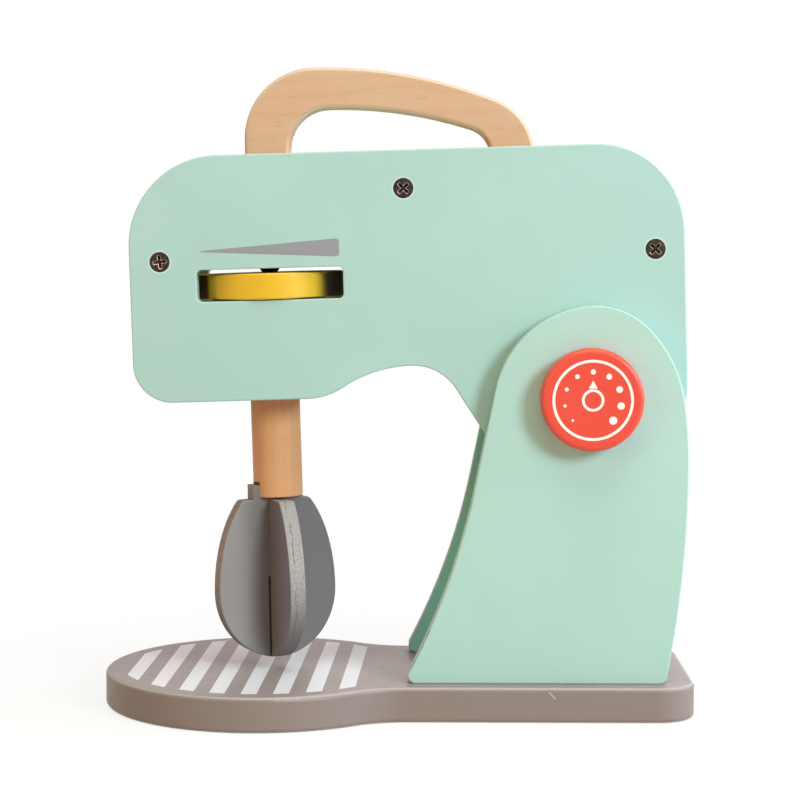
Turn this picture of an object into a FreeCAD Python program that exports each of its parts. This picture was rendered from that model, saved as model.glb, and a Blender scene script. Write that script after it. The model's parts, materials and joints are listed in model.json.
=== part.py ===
"""Wooden toy stand mixer: a painted stand, a tilting head, a hand-turned beater and two pivot knobs.

Frame: millimetres, +X towards the column end, +Y away from the dial side seen from the front,
+Z up. The underside of the base lies on z = 0 and x = y = 0 is the middle of the overall length
and width. The head is drawn level and then lowered by head_droop, so that it rests on its stop bar.
"""
import FreeCAD, Part
import math
import os

V = FreeCAD.Vector

# ---------------------------------------------------------------- base board
base_length = 236.95       # overall, round end to square end
base_thick = 14.0
base_round = 64.6          # radius of the round bowl end
base_half_width = 44.9     # half width of the part under the column
base_corner = 15.0         # radius of the two corners behind the column
base_waist_round = 32.3    # hollow radius where the round end meets the straight part
base_edge_round = 1.8

# ---------------------------------------------------------------- pivot and column
pivot_from_end = 42.1      # pivot axis, in front of the base's square end
pivot_z = 126.7
plate_thick = 9.0          # sheet that column and head plates are cut from
head_gap = 0.5             # between a head plate and its column plate, each side
column_crown = (1.5, 6.6)  # middle of the crown's round, from the pivot
column_crown_round = 29.55
column_crown_arc = (44.7, 98.3)     # degrees that the crown's round spans
column_front_round = 41.2  # shoulder from the crown down to the front edge
column_back_shoulder = 51.2         # shoulder from the crown down to the back edge
column_back_turn = 7.6     # where that shoulder ends, degrees
column_bow_round = 188.0   # gentle bow down to the furthest reach
column_lean = 11.6         # slope of the front edge, degrees from upright
column_flare_round = 275.0 # hollow radius of the front foot
column_flare_drop = 36.4   # below the pivot, where the foot starts to flare
column_back_round = 451.0  # radius of the back edge below its furthest reach
column_foot_round = 3.0
plate_edge_round = 0.6

# ---------------------------------------------------------------- head, about the pivot
head_droop = 1.7           # degrees, nose down, at rest
head_nose = 179.4          # from the pivot to the nose
head_tail = 39.05          # from the pivot to the back edge
head_top = 99.0
head_chin = 2.2            # lower edge of the nose part, above the pivot
head_nose_round = 35.7
head_tail_round = 34.2
head_chin_round = 15.4
neck_apex = 69.45          # top of the neck arch, in front of the pivot
neck_rise = 12.0           # arch above the chin line
neck_front_round = 51.3
neck_back_round = 20.0
neck_sweep_round = 26.5    # from the chin line into the arch
neck_slope = 58.8          # of the edge running down into the lobe, degrees
lobe_drop = 38.7           # flat foot of the lobe, below the pivot
lobe_front_round = 5.0
lobe_back_round = 45.0
lobe_back_turn = 19.0      # degrees of that round before the lobe runs straight to its heel
lobe_heel_round = 6.0
head_inner_width = 37.0    # between the two head plates

# ---------------------------------------------------------------- stop bar between the column plates
stop_bar_radius = 6.0
stop_bar_arm = 18.0        # from the pivot line to the bar, along the lobe's foot
stop_rest_gap = 0.3
stop_bar_socket = 6.0      # depth of the blind holes

# ---------------------------------------------------------------- pivot axle and knobs
axle_radius = 7.0
running_fit = 0.08         # radial, axle and shaft in their bores
knob_radius = 19.95
knob_thick = 10.0
knob_gap = 0.4             # between knob and column plate
knob_face_round = 2.0
knob_back_round = 1.2
knob_socket = 6.8          # how deep the axle is glued into a knob
pivot_boss_radius = 17.0

# ---------------------------------------------------------------- beater drive
shaft_from_pivot = 125.6   # shaft axis, in front of the pivot
shaft_radius = 10.0
shaft_bottom = -38.7       # lower end, measured from the pivot height
dial_radius = 29.3
dial_thick = 10.35
dial_bottom = 41.9         # above the pivot
dial_edge_round = 0.8
dial_seat = 3.0            # the shaft's top end sits this deep in the dial
dial_lower_gap = 0.3
dial_upper_gap = 1.85
dial_screw_radius = 4.4    # raised head, tapering down to its neck
dial_screw_neck = 3.1
dial_screw_height = 2.3
dial_screw_shift = -0.5    # along the head, from the shaft axis
window_length = 57.6
window_shift = 1.3         # window centre behind the shaft axis
window_corner = 2.0
window_edge_round = 0.5
guide_gap = 0.4            # between the guide block and the dial
guide_length = 40.0        # block that the shaft turns in
guide_bottom = 5.0

# ---------------------------------------------------------------- beater
blade_angle = 25.0         # of the tabbed blade, degrees from the X axis
blade_thick = 6.8
blade_reach = 25.3         # half width of the egg outline
blade_low = 27.3           # semi-axis below the widest level
blade_high = 45.8          # semi-axis above it
blade_top = -39.7          # cut-off top, measured from the pivot height
blade_crown = 37.6         # from the widest level up to the cut-off top
blade_shift = 2.1          # the blades sit this far along their slot
blade_lean = 0.7           # degrees, slack of the tab in its slot
blade_fit = 0.15           # each side, in the shaft's slot
lap_fit = 0.25             # each side, where the blades cross
blade_shoulder = 2.0       # round at the two upper corners
lap_level = 2.0            # where the two slits meet, above the widest level
blade_edge_round = 0.6
tab_length = 21.2
tab_shift = 0.65           # of the tab along the blade
tab_height = 5.9
tab_head_room = 1.3

# ---------------------------------------------------------------- handle and inner blocks
handle_thick = 18.0
handle_half = 57.8         # outer half span
handle_shift = -76.05      # middle of the handle, from the pivot
handle_front_leg = 17.7
handle_back_leg = 17.3
handle_rise = 34.3         # top of the handle above the head's top edge
handle_grip = 16.15        # height of the grip bar
handle_front_round = 28.3
handle_back_round = 24.0
handle_top_round = 185.0
handle_inner_front = 16.0
handle_inner_back = 11.3
handle_inner_round = 172.4 # hollow of the grip's underside
handle_edge_round = 1.5
handle_tenon = 14.0        # how deep the legs stand in the rail
tenon_fit = 0.1
rail_length = 124.0
rail_sink = 2.4            # rail top below the plates' top edge
rail_height = 22.5
nose_block_size = (17.0, 40.0)
tail_block_size = (17.0, 38.0)

# ---------------------------------------------------------------- screws
screw_head_radius = 4.0
screw_shank_radius = 2.0
screw_head_depth = 2.4
screw_length = 24.0
screw_recess = 0.15        # heads lie this much below the surface
base_screw_length = 34.0
base_screw_places = (-46.5, 11.5)   # along the base, from the pivot
nose_screw_inset = (12.0, 41.25)    # from the nose edge and below the top edge
top_screw_ahead = 70.85    # in front of the pivot
top_screw_inset = 15.05    # below the top edge
tail_screw_inset = (11.7, 41.65)    # from the back edge and below the top edge

# derived positions
pivot_x = base_length / 2 - pivot_from_end
plate_inner = head_inner_width / 2
head_outer = plate_inner + plate_thick
column_inner = head_outer + head_gap
column_outer = column_inner + plate_thick
window_bottom = dial_bottom - dial_lower_gap
window_top = dial_bottom + dial_thick + dial_upper_gap
round_centre = base_round - base_length / 2
nose_screw = (nose_screw_inset[0] - head_nose, head_top - nose_screw_inset[1])
top_screw = (-top_screw_ahead, head_top - top_screw_inset)
tail_screw = (head_tail - tail_screw_inset[0], head_top - tail_screw_inset[1])


# ---------------------------------------------------------------- small helpers
def at(x, z, y=0.0):
    """Point given from the pivot, in the head's level pose."""
    return V(pivot_x + x, y, pivot_z + z)


def polar(cx, cz, radius, degrees):
    """Point (x, z) on a circle."""
    a = math.radians(degrees)
    return (cx + radius * math.cos(a), cz + radius * math.sin(a))


def line(p, q):
    """Straight edge between two (x, z) points."""
    return Part.LineSegment(V(p[0], 0, p[1]), V(q[0], 0, q[1])).toShape()


def arc(cx, cz, radius, start, end):
    """Circular edge from one angle to another, in degrees, in the XZ plane."""
    mid = (start + end) / 2
    pts = [polar(cx, cz, radius, a) for a in (start, mid, end)]
    return Part.Arc(*[V(p[0], 0, p[1]) for p in pts]).toShape()


def sheet(edges, y_low, thick):
    """Flat part cut along a closed outline in the XZ plane."""
    face = Part.Face(Part.Wire(edges))
    face.translate(V(0, y_low, 0))
    return face.extrude(V(0, thick, 0))


def rod_y(x, z, radius, y_low, y_high):
    """Cylinder lying along Y."""
    return Part.makeCylinder(radius, y_high - y_low, V(x, y_low, z), V(0, 1, 0))


def block(x_low, x_high, y_half, z_low, z_high):
    """Plain block, centred on y = 0."""
    return Part.makeBox(x_high - x_low, 2 * y_half, z_high - z_low, V(x_low, -y_half, z_low))


def round_outline(shape, radius, faces_at, keep=lambda edge: True):
    """Round the outline edges that lie in the planes y = faces_at."""
    chosen = []
    for edge in shape.Edges:
        box = edge.BoundBox
        for y in faces_at:
            if abs(box.YMin - y) < 1e-4 and abs(box.YMax - y) < 1e-4 and keep(edge):
                chosen.append(edge)
    return shape.makeFillet(radius, chosen)


def soften(shape, size):
    """Small round on every straight edge of a block."""
    return shape.makeFillet(size, shape.Edges)


def lower_head(shape):
    """Turn a level head part down to the rest pose."""
    shape = shape.copy()
    shape.rotate(V(pivot_x, 0, pivot_z), V(0, 1, 0), -head_droop)
    return shape


# ---------------------------------------------------------------- screws
def screw(tip_length, radius=screw_head_radius, neck=screw_shank_radius, depth=screw_head_depth):
    """Cross-head screw with a tapered head: its top at z = 0, pointing down."""
    cone = Part.makeCone(neck, radius, depth - 0.4, V(0, 0, -depth))
    rim = Part.makeCylinder(radius, 0.4, V(0, 0, -0.4))
    shank = Part.makeCylinder(screw_shank_radius, tip_length - depth - 4.0,
                              V(0, 0, -tip_length + 4.0))
    point = Part.makeCone(0.4, screw_shank_radius, 4.0, V(0, 0, -tip_length))
    body = cone.fuse([rim, shank, point]).removeSplitter()
    wing = radius * 0.58
    for turn in (0, 90):
        top = Part.makePolygon([V(-wing, -0.5, 0.1), V(wing, -0.5, 0.1), V(wing, 0.5, 0.1),
                                V(-wing, 0.5, 0.1), V(-wing, -0.5, 0.1)])
        low = Part.makePolygon([V(-0.6, -0.35, -1.7), V(0.6, -0.35, -1.7), V(0.6, 0.35, -1.7),
                                V(-0.6, 0.35, -1.7), V(-0.6, -0.35, -1.7)])
        slot = Part.makeLoft([top, low], True, True)
        slot.rotate(V(0, 0, 0), V(0, 0, 1), turn)
        body = body.cut(slot)
    return body


def screw_seat(tip_length):
    """The hole a screw needs: countersink, clearance to the surface and pilot bore."""
    sink = Part.makeCone(screw_shank_radius, screw_head_radius,
                         screw_head_depth - 0.4, V(0, 0, -screw_head_depth))
    mouth = Part.makeCylinder(screw_head_radius, 0.4 + screw_recess, V(0, 0, -0.4))
    pilot = Part.makeCylinder(screw_shank_radius, tip_length - screw_head_depth,
                              V(0, 0, -tip_length))
    return sink.fuse([mouth, pilot])


def aim(shape, axis, degrees, target, spin=0.0):
    """Turn a screw or its seat from the -Z direction and put it in place."""
    shape = shape.copy()
    if spin:
        shape.rotate(V(0, 0, 0), V(0, 0, 1), spin)
    shape.rotate(V(0, 0, 0), axis, degrees)
    shape.translate(target)
    return shape


def head_screw_points():
    """Places of the six screws that hold the head plates, seen from one side."""
    return [nose_screw, top_screw, tail_screw]


def head_screw_set(side, maker, spins=(7, 44, 46)):
    """Screws or seats of one head plate; side is -1 for the front, +1 for the rear."""
    depth = side * (head_outer - screw_recess)
    degrees = 90 if side < 0 else -90
    made = maker(screw_length)
    return [aim(made, V(1, 0, 0), degrees, at(x, z, depth), spin)
            for (x, z), spin in zip(head_screw_points(), spins)]


def base_screw_set(maker):
    """Screws or seats that come up through the base into the column plates."""
    y_mid = (column_inner + column_outer) / 2
    made = maker(base_screw_length)
    places = [(pivot_x + x, s * y_mid) for x in base_screw_places for s in (-1, 1)]
    return [aim(made, V(1, 0, 0), 180, V(x, y, screw_recess), 15 * k)
            for k, (x, y) in enumerate(places)]


# ---------------------------------------------------------------- stand
def base_board():
    """Round bowl end running into a straight part with two rounded corners."""
    far = base_length / 2
    waist_reach = base_round + base_waist_round
    waist_y = base_half_width + base_waist_round
    waist_x = round_centre + math.sqrt(waist_reach ** 2 - waist_y ** 2)
    touch = math.degrees(math.atan2(waist_y, waist_x - round_centre))
    up = [arc(round_centre, 0, base_round, touch, 180),
          arc(waist_x, waist_y, base_waist_round, 270, 180 + touch),
          line((waist_x, base_half_width), (far - base_corner, base_half_width)),
          arc(far - base_corner, base_half_width - base_corner, base_corner, 0, 90),
          line((far, 0), (far, base_half_width - base_corner))]
    mirror = [edge.mirror(V(0, 0, 0), V(0, 0, 1)) for edge in up]
    outline = Part.Wire(Part.__sortEdges__(up + mirror))
    board = Part.Face(outline).extrude(V(0, -base_thick, 0))
    board.rotate(V(0, 0, 0), V(1, 0, 0), -90)
    low = board.BoundBox.ZMin
    board.translate(V(0, 0, -low))
    rims = [e for e in board.Edges if e.BoundBox.ZLength < 1e-4]
    board = board.makeFillet(base_edge_round, rims)
    return board.cut(Part.makeCompound(base_screw_set(screw_seat)))


def column_outline():
    """Column plate outline: crown with two shoulders, leaning front edge with a flared foot,
    bowed back edge. Neighbouring arcs share their tangents."""
    foot = base_thick - pivot_z
    lean = math.radians(column_lean)
    crown_x, crown_z = column_crown
    back_end, front_end = column_crown_arc
    # front shoulder, then the straight front edge and its hollow flare
    sx, sz = polar(crown_x, crown_z, column_crown_round - column_front_round, front_end)
    left_touch = polar(sx, sz, column_front_round, 180 - column_lean)
    flare_start = (left_touch[0] - (left_touch[1] + column_flare_drop) * math.tan(lean),
                   -column_flare_drop)
    fcx = flare_start[0] - column_flare_round * math.cos(lean)
    fcz = flare_start[1] + column_flare_round * math.sin(lean)
    # back shoulder, then the bow that ends upright at the furthest reach
    bx, bz = polar(crown_x, crown_z, column_crown_round - column_back_shoulder, back_end)
    wx, wz = polar(bx, bz, column_back_shoulder - column_bow_round, column_back_turn)
    lcx = wx + column_bow_round - column_back_round
    # small rounds at the foot: circles that touch the foot line and the edge arcs
    r = column_foot_round
    foot_z = foot + r
    front_x = fcx + math.sqrt((column_flare_round + r) ** 2 - (foot_z - fcz) ** 2)
    front_turn = math.degrees(math.atan2(foot_z - fcz, front_x - fcx))
    back_x = lcx + math.sqrt((column_back_round - r) ** 2 - (foot_z - wz) ** 2)
    back_turn = math.degrees(math.atan2(foot_z - wz, back_x - lcx))
    edges = [arc(crown_x, crown_z, column_crown_round, back_end, front_end),
             arc(sx, sz, column_front_round, front_end, 180 - column_lean),
             line(left_touch, flare_start),
             arc(fcx, fcz, column_flare_round, -column_lean, front_turn),
             arc(front_x, foot_z, r, 180 + front_turn, 270),
             line((front_x, foot), (back_x, foot)),
             arc(back_x, foot_z, r, 270, 360 + back_turn),
             arc(lcx, wz, column_back_round, back_turn, 0),
             arc(wx, wz, column_bow_round, 0, column_back_turn),
             arc(bx, bz, column_back_shoulder, column_back_turn, back_end)]
    return edges


def stop_bar_place():
    """Middle of the stop bar, seen from the pivot: under the lobe's foot at rest."""
    away = lobe_drop + stop_bar_radius + stop_rest_gap
    droop = math.radians(head_droop)
    return (away * math.sin(droop) - stop_bar_arm * math.cos(droop),
            -away * math.cos(droop) - stop_bar_arm * math.sin(droop))


def column_plate(side):
    """One column plate with its axle bore, blind stop-bar hole and screw pilots."""
    y_low = -column_outer if side < 0 else column_inner
    plate = sheet(column_outline(), y_low, plate_thick)
    foot = base_thick - pivot_z
    plate = round_outline(plate, plate_edge_round, (y_low, y_low + plate_thick),
                          lambda e: e.BoundBox.ZMax > foot + 1e-3)
    plate.translate(V(pivot_x, 0, pivot_z))
    bar_x, bar_z = stop_bar_place()
    reach = column_inner + stop_bar_socket
    tools = [rod_y(pivot_x, pivot_z, axle_radius + running_fit, y_low - 1, y_low + plate_thick + 1),
             rod_y(pivot_x + bar_x, pivot_z + bar_z, stop_bar_radius, -reach, reach)]
    return plate.cut(Part.makeCompound(tools)).cut(Part.makeCompound(base_screw_set(screw_seat)))


def stop_bar():
    """Dowel between the column plates that the head rests on."""
    bar_x, bar_z = stop_bar_place()
    reach = column_inner + stop_bar_socket
    return rod_y(pivot_x + bar_x, pivot_z + bar_z, stop_bar_radius, -reach, reach)


# ---------------------------------------------------------------- head
def head_outline():
    """Head plate outline seen from the pivot: nose part, neck arch and pivot lobe."""
    left, right = -head_nose, head_tail
    top, chin, foot = head_top, head_chin, -lobe_drop
    apex_x, apex_z = -neck_apex, head_chin + neck_rise
    sweep_x = apex_x - math.sqrt(neck_rise * (2 * neck_front_round + 2 * neck_sweep_round
                                              - neck_rise))
    sweep_z = chin + neck_sweep_round
    front_cz = apex_z - neck_front_round
    join = math.degrees(math.atan2(sweep_z - front_cz, sweep_x - apex_x))
    back_cz = apex_z - neck_back_round
    end = polar(apex_x, back_cz, neck_back_round, 90 - neck_slope)
    slope = math.radians(neck_slope)
    corner_x = end[0] + (end[1] - foot) / math.tan(slope)
    step = lobe_front_round * math.tan(slope / 2)
    before = (corner_x - step * math.cos(slope), foot + step * math.sin(slope))
    # back of the lobe: round off the tail edge, straight run, heel that meets the stop bar
    back_z = foot + lobe_back_round
    back_low = polar(right - lobe_back_round, back_z, lobe_back_round, -lobe_back_turn)
    turn = math.radians(lobe_back_turn)
    heel_x = (right - lobe_back_round + (lobe_back_round - lobe_heel_round) / math.cos(turn)
              - (lobe_back_round - lobe_heel_round) * math.tan(turn))
    heel_low = (heel_x, foot)
    heel_high = polar(heel_x, foot + lobe_heel_round, lobe_heel_round, -lobe_back_turn)
    edges = [line((left + head_chin_round, chin), (sweep_x, chin)),
             arc(sweep_x, sweep_z, neck_sweep_round, 270, 180 + join),
             arc(apex_x, front_cz, neck_front_round, join, 90),
             arc(apex_x, back_cz, neck_back_round, 90, 90 - neck_slope),
             line(end, before),
             arc(corner_x + step, foot + lobe_front_round, lobe_front_round,
                 270 - neck_slope, 270),
             line((corner_x + step, foot), heel_low),
             arc(heel_x, foot + lobe_heel_round, lobe_heel_round, 270, 360 - lobe_back_turn),
             line(heel_high, back_low),
             arc(right - lobe_back_round, back_z, lobe_back_round, 360 - lobe_back_turn, 360),
             line((right, back_z), (right, top - head_tail_round)),
             arc(right - head_tail_round, top - head_tail_round, head_tail_round, 0, 90),
             line((right - head_tail_round, top), (left + head_nose_round, top)),
             arc(left + head_nose_round, top - head_nose_round, head_nose_round, 90, 180),
             line((left, top - head_nose_round), (left, chin + head_chin_round)),
             arc(left + head_chin_round, chin + head_chin_round, head_chin_round, 180, 270)]
    return edges


def dial_window(side):
    """Rounded slot that the dial's rim reaches through."""
    mid = -shaft_from_pivot + window_shift
    y_low = -head_outer if side < 0 else plate_inner
    x_low, x_high = mid - window_length / 2, mid + window_length / 2
    slot = Part.makeBox(x_high - x_low, plate_thick + 2, window_top - window_bottom,
                        at(x_low, window_bottom, y_low - 1))
    corners = [e for e in slot.Edges if e.BoundBox.YLength > plate_thick]
    return slot.makeFillet(window_corner, corners)


def head_plate(side):
    """One head plate with its window, axle bore and countersunk screw holes."""
    y_low = -head_outer if side < 0 else plate_inner
    plate = sheet(head_outline(), y_low, plate_thick)
    plate = round_outline(plate, plate_edge_round, (y_low, y_low + plate_thick))
    plate.translate(V(pivot_x, 0, pivot_z))
    tools = [rod_y(pivot_x, pivot_z, axle_radius + running_fit, y_low - 1, y_low + plate_thick + 1),
             dial_window(side)]
    plate = plate.cut(Part.makeCompound(tools))
    outer = side * head_outer
    mid_z = pivot_z + (window_bottom + window_top) / 2
    left = pivot_x - shaft_from_pivot + window_shift - window_length / 2 - 0.1
    rim = [e for e in plate.Edges if abs(e.BoundBox.YMin - outer) < 1e-4
           and abs(e.BoundBox.YMax - outer) < 1e-4 and e.BoundBox.XMin > left
           and e.BoundBox.XMax < left + window_length + 0.2
           and abs(e.BoundBox.Center.z - mid_z) < (window_top - window_bottom) / 2 + 0.1]
    plate = plate.makeFillet(window_edge_round, rim)
    return plate.cut(Part.makeCompound(head_screw_set(side, screw_seat)))


def spacer_block(centre, size):
    """Block between the head plates behind a pair of screws."""
    x, z = centre
    wide, tall = size
    solid = block(pivot_x + x - wide / 2, pivot_x + x + wide / 2, plate_inner,
                  pivot_z + z - tall / 2, pivot_z + z + tall / 2)
    long_edges = [e for e in solid.Edges if e.BoundBox.YLength > head_inner_width - 1]
    solid = solid.makeFillet(2.0, long_edges)
    seats = head_screw_set(-1, screw_seat) + head_screw_set(1, screw_seat)
    return solid.cut(Part.makeCompound(seats))


def handle_outline():
    """Handle seen from the pivot: one upright leg, a long falling grip and a short rear leg."""
    top = head_top + handle_rise
    left, right = handle_shift - handle_half, handle_shift + handle_half
    foot = head_top - rail_sink - handle_tenon
    front_x = left + handle_front_round
    sweep_cz = top - handle_top_round
    rear_x = right - handle_back_round
    gap = handle_top_round - handle_back_round
    rear_z = sweep_cz + math.sqrt(gap ** 2 - (rear_x - front_x) ** 2)
    turn = math.degrees(math.atan2(rear_z - sweep_cz, rear_x - front_x))
    # inner side
    in_left, in_right = left + handle_front_leg, right - handle_back_leg
    in_top = top - handle_grip
    in_front_x = in_left + handle_inner_front
    in_round = handle_inner_round
    in_cz = in_top - in_round
    in_rear_x = in_right - handle_inner_back
    in_gap = in_round - handle_inner_back
    in_rear_z = in_cz + math.sqrt(in_gap ** 2 - (in_rear_x - in_front_x) ** 2)
    in_turn = math.degrees(math.atan2(in_rear_z - in_cz, in_rear_x - in_front_x))
    edges = [line((left, foot), (left, top - handle_front_round)),
             arc(front_x, top - handle_front_round, handle_front_round, 180, 90),
             arc(front_x, sweep_cz, handle_top_round, 90, turn),
             arc(rear_x, rear_z, handle_back_round, turn, 0),
             line((right, rear_z), (right, foot)),
             line((right, foot), (in_right, foot)),
             line((in_right, foot), (in_right, in_rear_z)),
             arc(in_rear_x, in_rear_z, handle_inner_back, 0, in_turn),
             arc(in_front_x, in_cz, in_round, in_turn, 90),
             arc(in_front_x, in_top - handle_inner_front, handle_inner_front, 90, 180),
             line((in_left, in_top - handle_inner_front), (in_left, foot)),
             line((in_left, foot), (left, foot))]
    return edges


def handle():
    """Carrying handle with softened edges; its two legs end in tenons."""
    half = handle_thick / 2
    foot = head_top - rail_sink - handle_tenon
    bar = sheet(handle_outline(), -half, handle_thick)
    bar = round_outline(bar, handle_edge_round, (-half, half),
                        lambda e: e.BoundBox.ZMax > foot + 1e-3)
    bar.translate(V(pivot_x, 0, pivot_z))
    return bar


def top_rail():
    """Rail between the head plates with two mortises for the handle's legs."""
    top = pivot_z + head_top - rail_sink
    mid = pivot_x + handle_shift
    rail = block(mid - rail_length / 2, mid + rail_length / 2, plate_inner, top - rail_height, top)
    ends = [e for e in rail.Edges if e.BoundBox.YLength > head_inner_width - 1]
    rail = rail.makeFillet(2.0, ends)
    deep = handle_tenon
    for x, leg in ((mid - handle_half, handle_front_leg),
                   (mid + handle_half - handle_back_leg, handle_back_leg)):
        pocket = Part.makeBox(leg + 2 * tenon_fit, handle_thick + 2 * tenon_fit, deep + 1,
                              V(x - tenon_fit, -handle_thick / 2 - tenon_fit, top - deep))
        rail = rail.cut(pocket)
    seats = head_screw_set(-1, screw_seat) + head_screw_set(1, screw_seat)
    return rail.cut(Part.makeCompound(seats))


def shaft_guide():
    """Block glued between the head plates; the shaft turns in its bore."""
    mid = pivot_x - shaft_from_pivot
    top = pivot_z + dial_bottom - guide_gap
    solid = block(mid - guide_length / 2, mid + guide_length / 2, plate_inner,
                  pivot_z + guide_bottom, top)
    long_edges = [e for e in solid.Edges if e.BoundBox.YLength > head_inner_width - 1]
    solid = solid.makeFillet(2.0, long_edges)
    bore = Part.makeCylinder(shaft_radius + running_fit, 200, V(mid, 0, pivot_z - 50))
    return solid.cut(bore)


def pivot_boss():
    """Turned spacer round the axle, between the head plates."""
    outer = rod_y(pivot_x, pivot_z, pivot_boss_radius, -plate_inner, plate_inner)
    bore = rod_y(pivot_x, pivot_z, axle_radius + running_fit, -plate_inner - 1, plate_inner + 1)
    return outer.cut(bore)


# ---------------------------------------------------------------- beater
def place_blade(shape):
    """Put a blade drawn about the origin under the shaft: turned, shifted and leaning."""
    shape = shape.copy()
    tab_mid = V(0, 0, blade_crown + tab_height / 2)
    shape.rotate(tab_mid, V(0, 1, 0), blade_lean)
    shape.translate(V(-blade_shift, 0, 0))
    shape.rotate(V(0, 0, 0), V(0, 0, 1), blade_angle)
    shape.translate(at(-shaft_from_pivot, blade_top - blade_crown))
    return shape


def egg(thick):
    """Egg-shaped sheet with a cut-off top, widest at z = 0, lying in the XZ plane."""
    halves = []
    for reach, low, high in ((blade_low, -blade_low - 1, 0), (blade_high, 0, blade_crown)):
        ring = Part.Ellipse(V(0, 0, reach), V(blade_reach, 0, 0), V(0, 0, 0)).toShape()
        oval = Part.Face(Part.Wire(ring)).extrude(V(0, thick, 0))
        oval.translate(V(0, -thick / 2, 0))
        keep = block(-blade_reach - 5, blade_reach + 5, thick, low, high)
        halves.append(oval.common(keep))
    solid = halves[0].fuse(halves[1]).removeSplitter()
    corners = [e for e in solid.Edges if e.BoundBox.YLength > thick - 1e-3
               and e.BoundBox.ZMin > blade_crown - 1e-3]
    solid = solid.makeFillet(blade_shoulder, corners)
    rims = [e for e in solid.Edges if e.BoundBox.YLength < 1e-4
            and e.BoundBox.ZMin < blade_crown - 1e-3]
    return solid.makeFillet(blade_edge_round, rims)


def lap_slit(z_low, z_high):
    """Slit across the middle of a blade for the other blade to pass through."""
    half = blade_thick / 2 + lap_fit
    return Part.makeBox(2 * half, blade_thick + 2, z_high - z_low,
                        V(-half, -blade_thick / 2 - 1, z_low))


def blade_with_tab():
    """Blade slit from below; its tab sits in the slot of the shaft."""
    blade = egg(blade_thick).cut(lap_slit(-blade_low - 5, lap_level + blade_fit / 2))
    tab = Part.makeBox(tab_length, blade_thick, tab_height + 2,
                       V(tab_shift - tab_length / 2, -blade_thick / 2, blade_crown - 2))
    return place_blade(blade.fuse(tab).removeSplitter())


def blade_across():
    """Blade slit from above, crossing the first one at a right angle."""
    blade = egg(blade_thick)
    blade.rotate(V(0, 0, 0), V(0, 0, 1), 90)
    slit = lap_slit(lap_level - blade_fit / 2, blade_crown + 5)
    slit.rotate(V(0, 0, 0), V(0, 0, 1), 90)
    return place_blade(blade.cut(slit))


def beater_shaft():
    """Dowel from the dial down to the blades, slotted across its lower end."""
    low = pivot_z + shaft_bottom
    high = pivot_z + dial_bottom + dial_seat
    x = pivot_x - shaft_from_pivot
    dowel = Part.makeCylinder(shaft_radius, high - low, V(x, 0, low))
    rims = [e for e in dowel.Edges if e.BoundBox.ZLength < 1e-4]
    dowel = dowel.makeFillet(0.5, rims)
    wide = blade_thick + 2 * blade_fit
    deep = blade_top + tab_height + tab_head_room - shaft_bottom
    slot = Part.makeBox(4 * shaft_radius, wide, deep + 1, V(-2 * shaft_radius, -wide / 2, -1))
    slot.rotate(V(0, 0, 0), V(0, 0, 1), blade_angle)
    slot.translate(V(x, 0, low))
    pilot = Part.makeCylinder(screw_shank_radius, 20, V(x + dial_screw_shift, 0, high - 16))
    return dowel.cut(slot).cut(pilot)


def dial_wheel():
    """Thumb wheel on the shaft; its rim stands out of both windows."""
    x = pivot_x - shaft_from_pivot
    low = pivot_z + dial_bottom
    wheel = Part.makeCylinder(dial_radius, dial_thick, V(x, 0, low))
    rims = [e for e in wheel.Edges if e.BoundBox.ZLength < 1e-4]
    wheel = wheel.makeFillet(dial_edge_round, rims)
    seat = Part.makeCylinder(shaft_radius, dial_seat, V(x, 0, low))
    hole = Part.makeCylinder(screw_shank_radius, dial_thick + 2, V(x + dial_screw_shift, 0, low - 1))
    return wheel.cut(seat.fuse(hole))


def dial_screw():
    """Screw that clamps the dial to the shaft; its head stands on the dial."""
    top = dial_bottom + dial_thick + dial_screw_height
    made = screw(screw_length - 2, dial_screw_radius, dial_screw_neck, dial_screw_height)
    return aim(made, V(1, 0, 0), 0, at(dial_screw_shift - shaft_from_pivot, top), 10)


# ---------------------------------------------------------------- knobs
def pivot_axle():
    """Dowel through column and head, glued into both knobs."""
    reach = column_outer + knob_gap + knob_socket
    return rod_y(pivot_x, pivot_z, axle_radius, -reach, reach)


def knob(side):
    """Turned knob with a rounded face, blind bore towards the column."""
    back, front = column_outer + knob_gap, column_outer + knob_gap + knob_thick
    body = rod_y(pivot_x, pivot_z, knob_radius, back, front)
    face = [e for e in body.Edges if abs(e.BoundBox.YMin - front) < 1e-4]
    body = body.makeFillet(knob_face_round, face)
    rear = [e for e in body.Edges if abs(e.BoundBox.YMax - back) < 1e-4
            and e.BoundBox.YLength < 1e-4]
    body = body.makeFillet(knob_back_round, rear)
    body = body.cut(rod_y(pivot_x, pivot_z, axle_radius, back - 1, back + knob_socket))
    if side < 0:
        body.rotate(V(pivot_x, 0, pivot_z), V(0, 0, 1), 180)
    return body


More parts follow.
